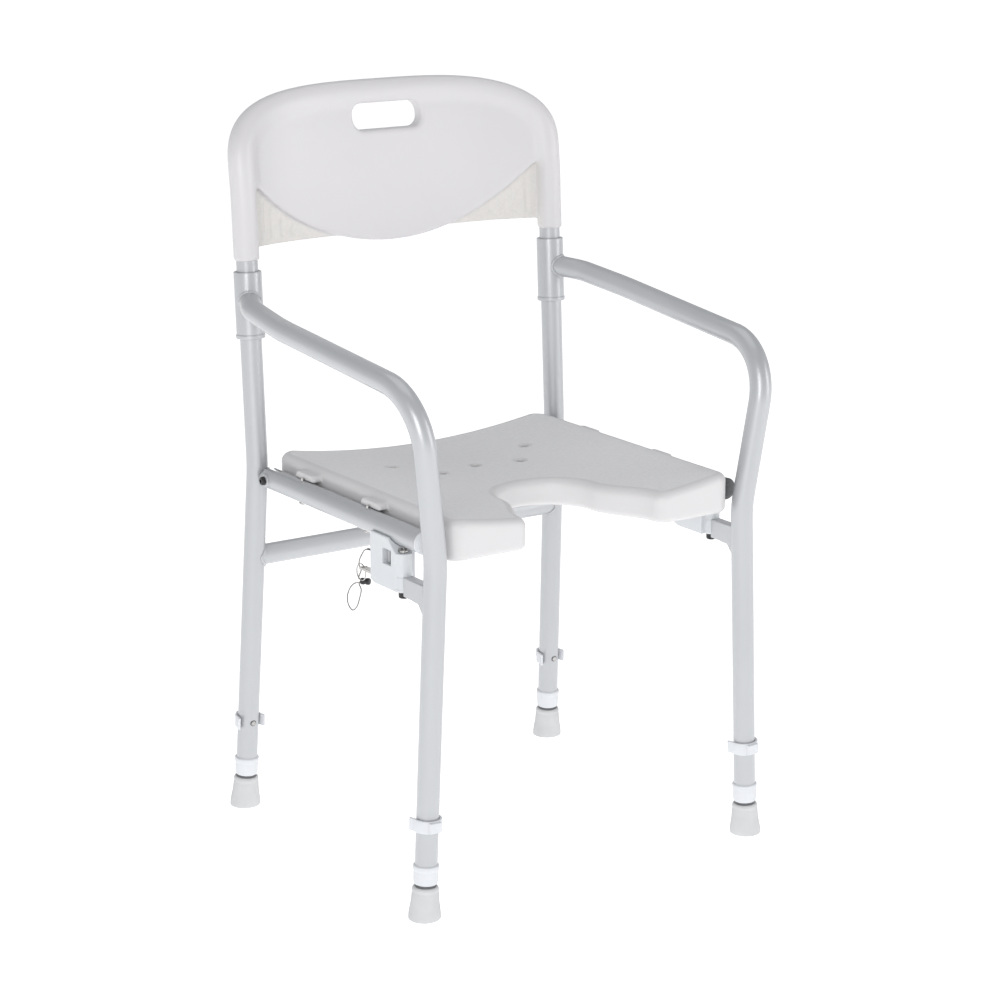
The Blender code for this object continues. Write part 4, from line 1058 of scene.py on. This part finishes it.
def slot_field(x, z):
    dx = np.abs(x) - (47.5 - 13.5)
    dz = np.abs(z - 823.0) - (15.5 - 13.5)
    return np.sqrt(np.maximum(dx, 0) ** 2 + np.maximum(dz, 0) ** 2) + np.minimum(np.maximum(dx, dz), 0) - 13.5


def socket_field(p, s):
    lo, hi = upright_at(s, 640), upright_at(s, REAR_TOP[2])
    lo, hi = np.array([lo.x, lo.y - Y0, lo.z]), np.array([hi.x, hi.y - Y0, hi.z])
    d = (hi - lo) / np.linalg.norm(hi - lo)
    w = p - lo
    h = w @ d
    r = np.sqrt(np.maximum(0, (w ** 2).sum(1) - h ** 2))
    return np.maximum(r - (TUBE_R + 0.3), h - (np.linalg.norm(hi - lo) + 3))


def back_field(p):
    rim, lens, apron, _ = back_parts(p)
    body = smin(rim, lens, 11.0)
    body = smin(body, apron, 2.5)
    lip = slot_field(p[:, 0], p[:, 2])
    body = smax(body, -lip, 5.0)
    return body


blank = bmesh.new()
for _, s in SIDES:
    rod(upright_at(s, 674.2), upright_at(s, 757.5), 14.0, 32, blank)
back = fine_copy("moulded_backrest", "backrest_panel", 2.0, WHITE_BACK, blank)
p = settle(back, back_field)
_, _, _, arc_d = back_parts(p)
cream = np.clip((arc_d - 0.5) / 2.5, 0, 1) * np.clip((206.0 - np.abs(p[:, 0]) - 4.0) / 6.0, 0, 1)
paint(back, "cream", cream)
back.data.shade_smooth()
place(back, "frame", "backrest_panel")
for label, s in SIDES:
    c = upright_at(s, 712)
    prof = soft([(0, 5.8), (1.4, 5.8), (1.9, 7.2), (3.7, 7.0), (4.1, 6.0), (4.0, 5.4), (1.9, 5.2), (1.9, 0), (0, 0)], 0.25)
    place(finish_mesh("back_fixing_" + label, lathe(prof, c + Vector((0, 10, 0)), Vector((0, 1, 0)), 36), STEEL), "frame", "backrest_screw_" + label)

# ------------------------------------------------------------------ floor, light
bm = bmesh.new()
for x, y in ((-40, -40), (40, -40), (40, 40), (-40, 40)):
    bm.verts.new((x / MM, y / MM, -0.6))
bm.faces.new(bm.verts)
floor_mat = bpy.data.materials.new("pale_floor")
floor_mat.use_nodes = True
fb = floor_mat.node_tree.nodes["Principled BSDF"]
fb.inputs["Base Color"].default_value = (0.86, 0.86, 0.86, 1)
fb.inputs["Roughness"].default_value = 0.9
fb.inputs["Specular IOR Level"].default_value = 0.1
fb.inputs["Emission Color"].default_value = (1, 1, 1, 1)
fb.inputs["Emission Strength"].default_value = 0.72
floor = finish_mesh("floor", bm, floor_mat, sharp=None)

world = bpy.data.worlds.new("studio")
world.use_nodes = True
scene.world = world
tree = world.node_tree
bg = tree.nodes["Background"]
wtc = tree.nodes.new("ShaderNodeTexCoord")
sep = tree.nodes.new("ShaderNodeSeparateXYZ")
tree.links.new(wtc.outputs["Generated"], sep.inputs["Vector"])
wr = tree.nodes.new("ShaderNodeValToRGB")
wr.color_ramp.elements[0].position = 0.0
wr.color_ramp.elements[0].color = (1.0, 1.0, 1.0, 1)
wr.color_ramp.elements[1].position = 1.0
wr.color_ramp.elements[1].color = (0.42, 0.43, 0.45, 1)
mid_ = wr.color_ramp.elements.new(0.35)
mid_.color = (0.80, 0.81, 0.83, 1)
tree.links.new(sep.outputs["Z"], wr.inputs["Fac"])
tree.links.new(wr.outputs["Color"], bg.inputs["Color"])
bg.inputs["Strength"].default_value = 0.66


def area(name, at, to, size, power, colour=(1, 1, 1)):
    data = bpy.data.lights.new(name, "AREA")
    data.shape = "RECTANGLE"
    data.size, data.size_y = size
    data.energy = power
    data.color = colour
    obj = bpy.data.objects.new(name, data)
    scene.collection.objects.link(obj)
    obj.location = at
    obj.rotation_euler = (Vector(to) - Vector(at)).to_track_quat("-Z", "Y").to_euler()
    return obj


area("key_softbox", (-2.6, -2.6, 1.7), (0, 0, 0.5), (1.6, 2.2), 46)
area("fill_softbox", (2.4, -2.4, 1.3), (0, 0, 0.5), (1.4, 2.0), 20)
area("top_softbox", (0.2, 0.4, 3.0), (0, 0, 0.4), (2.4, 2.4), 14)
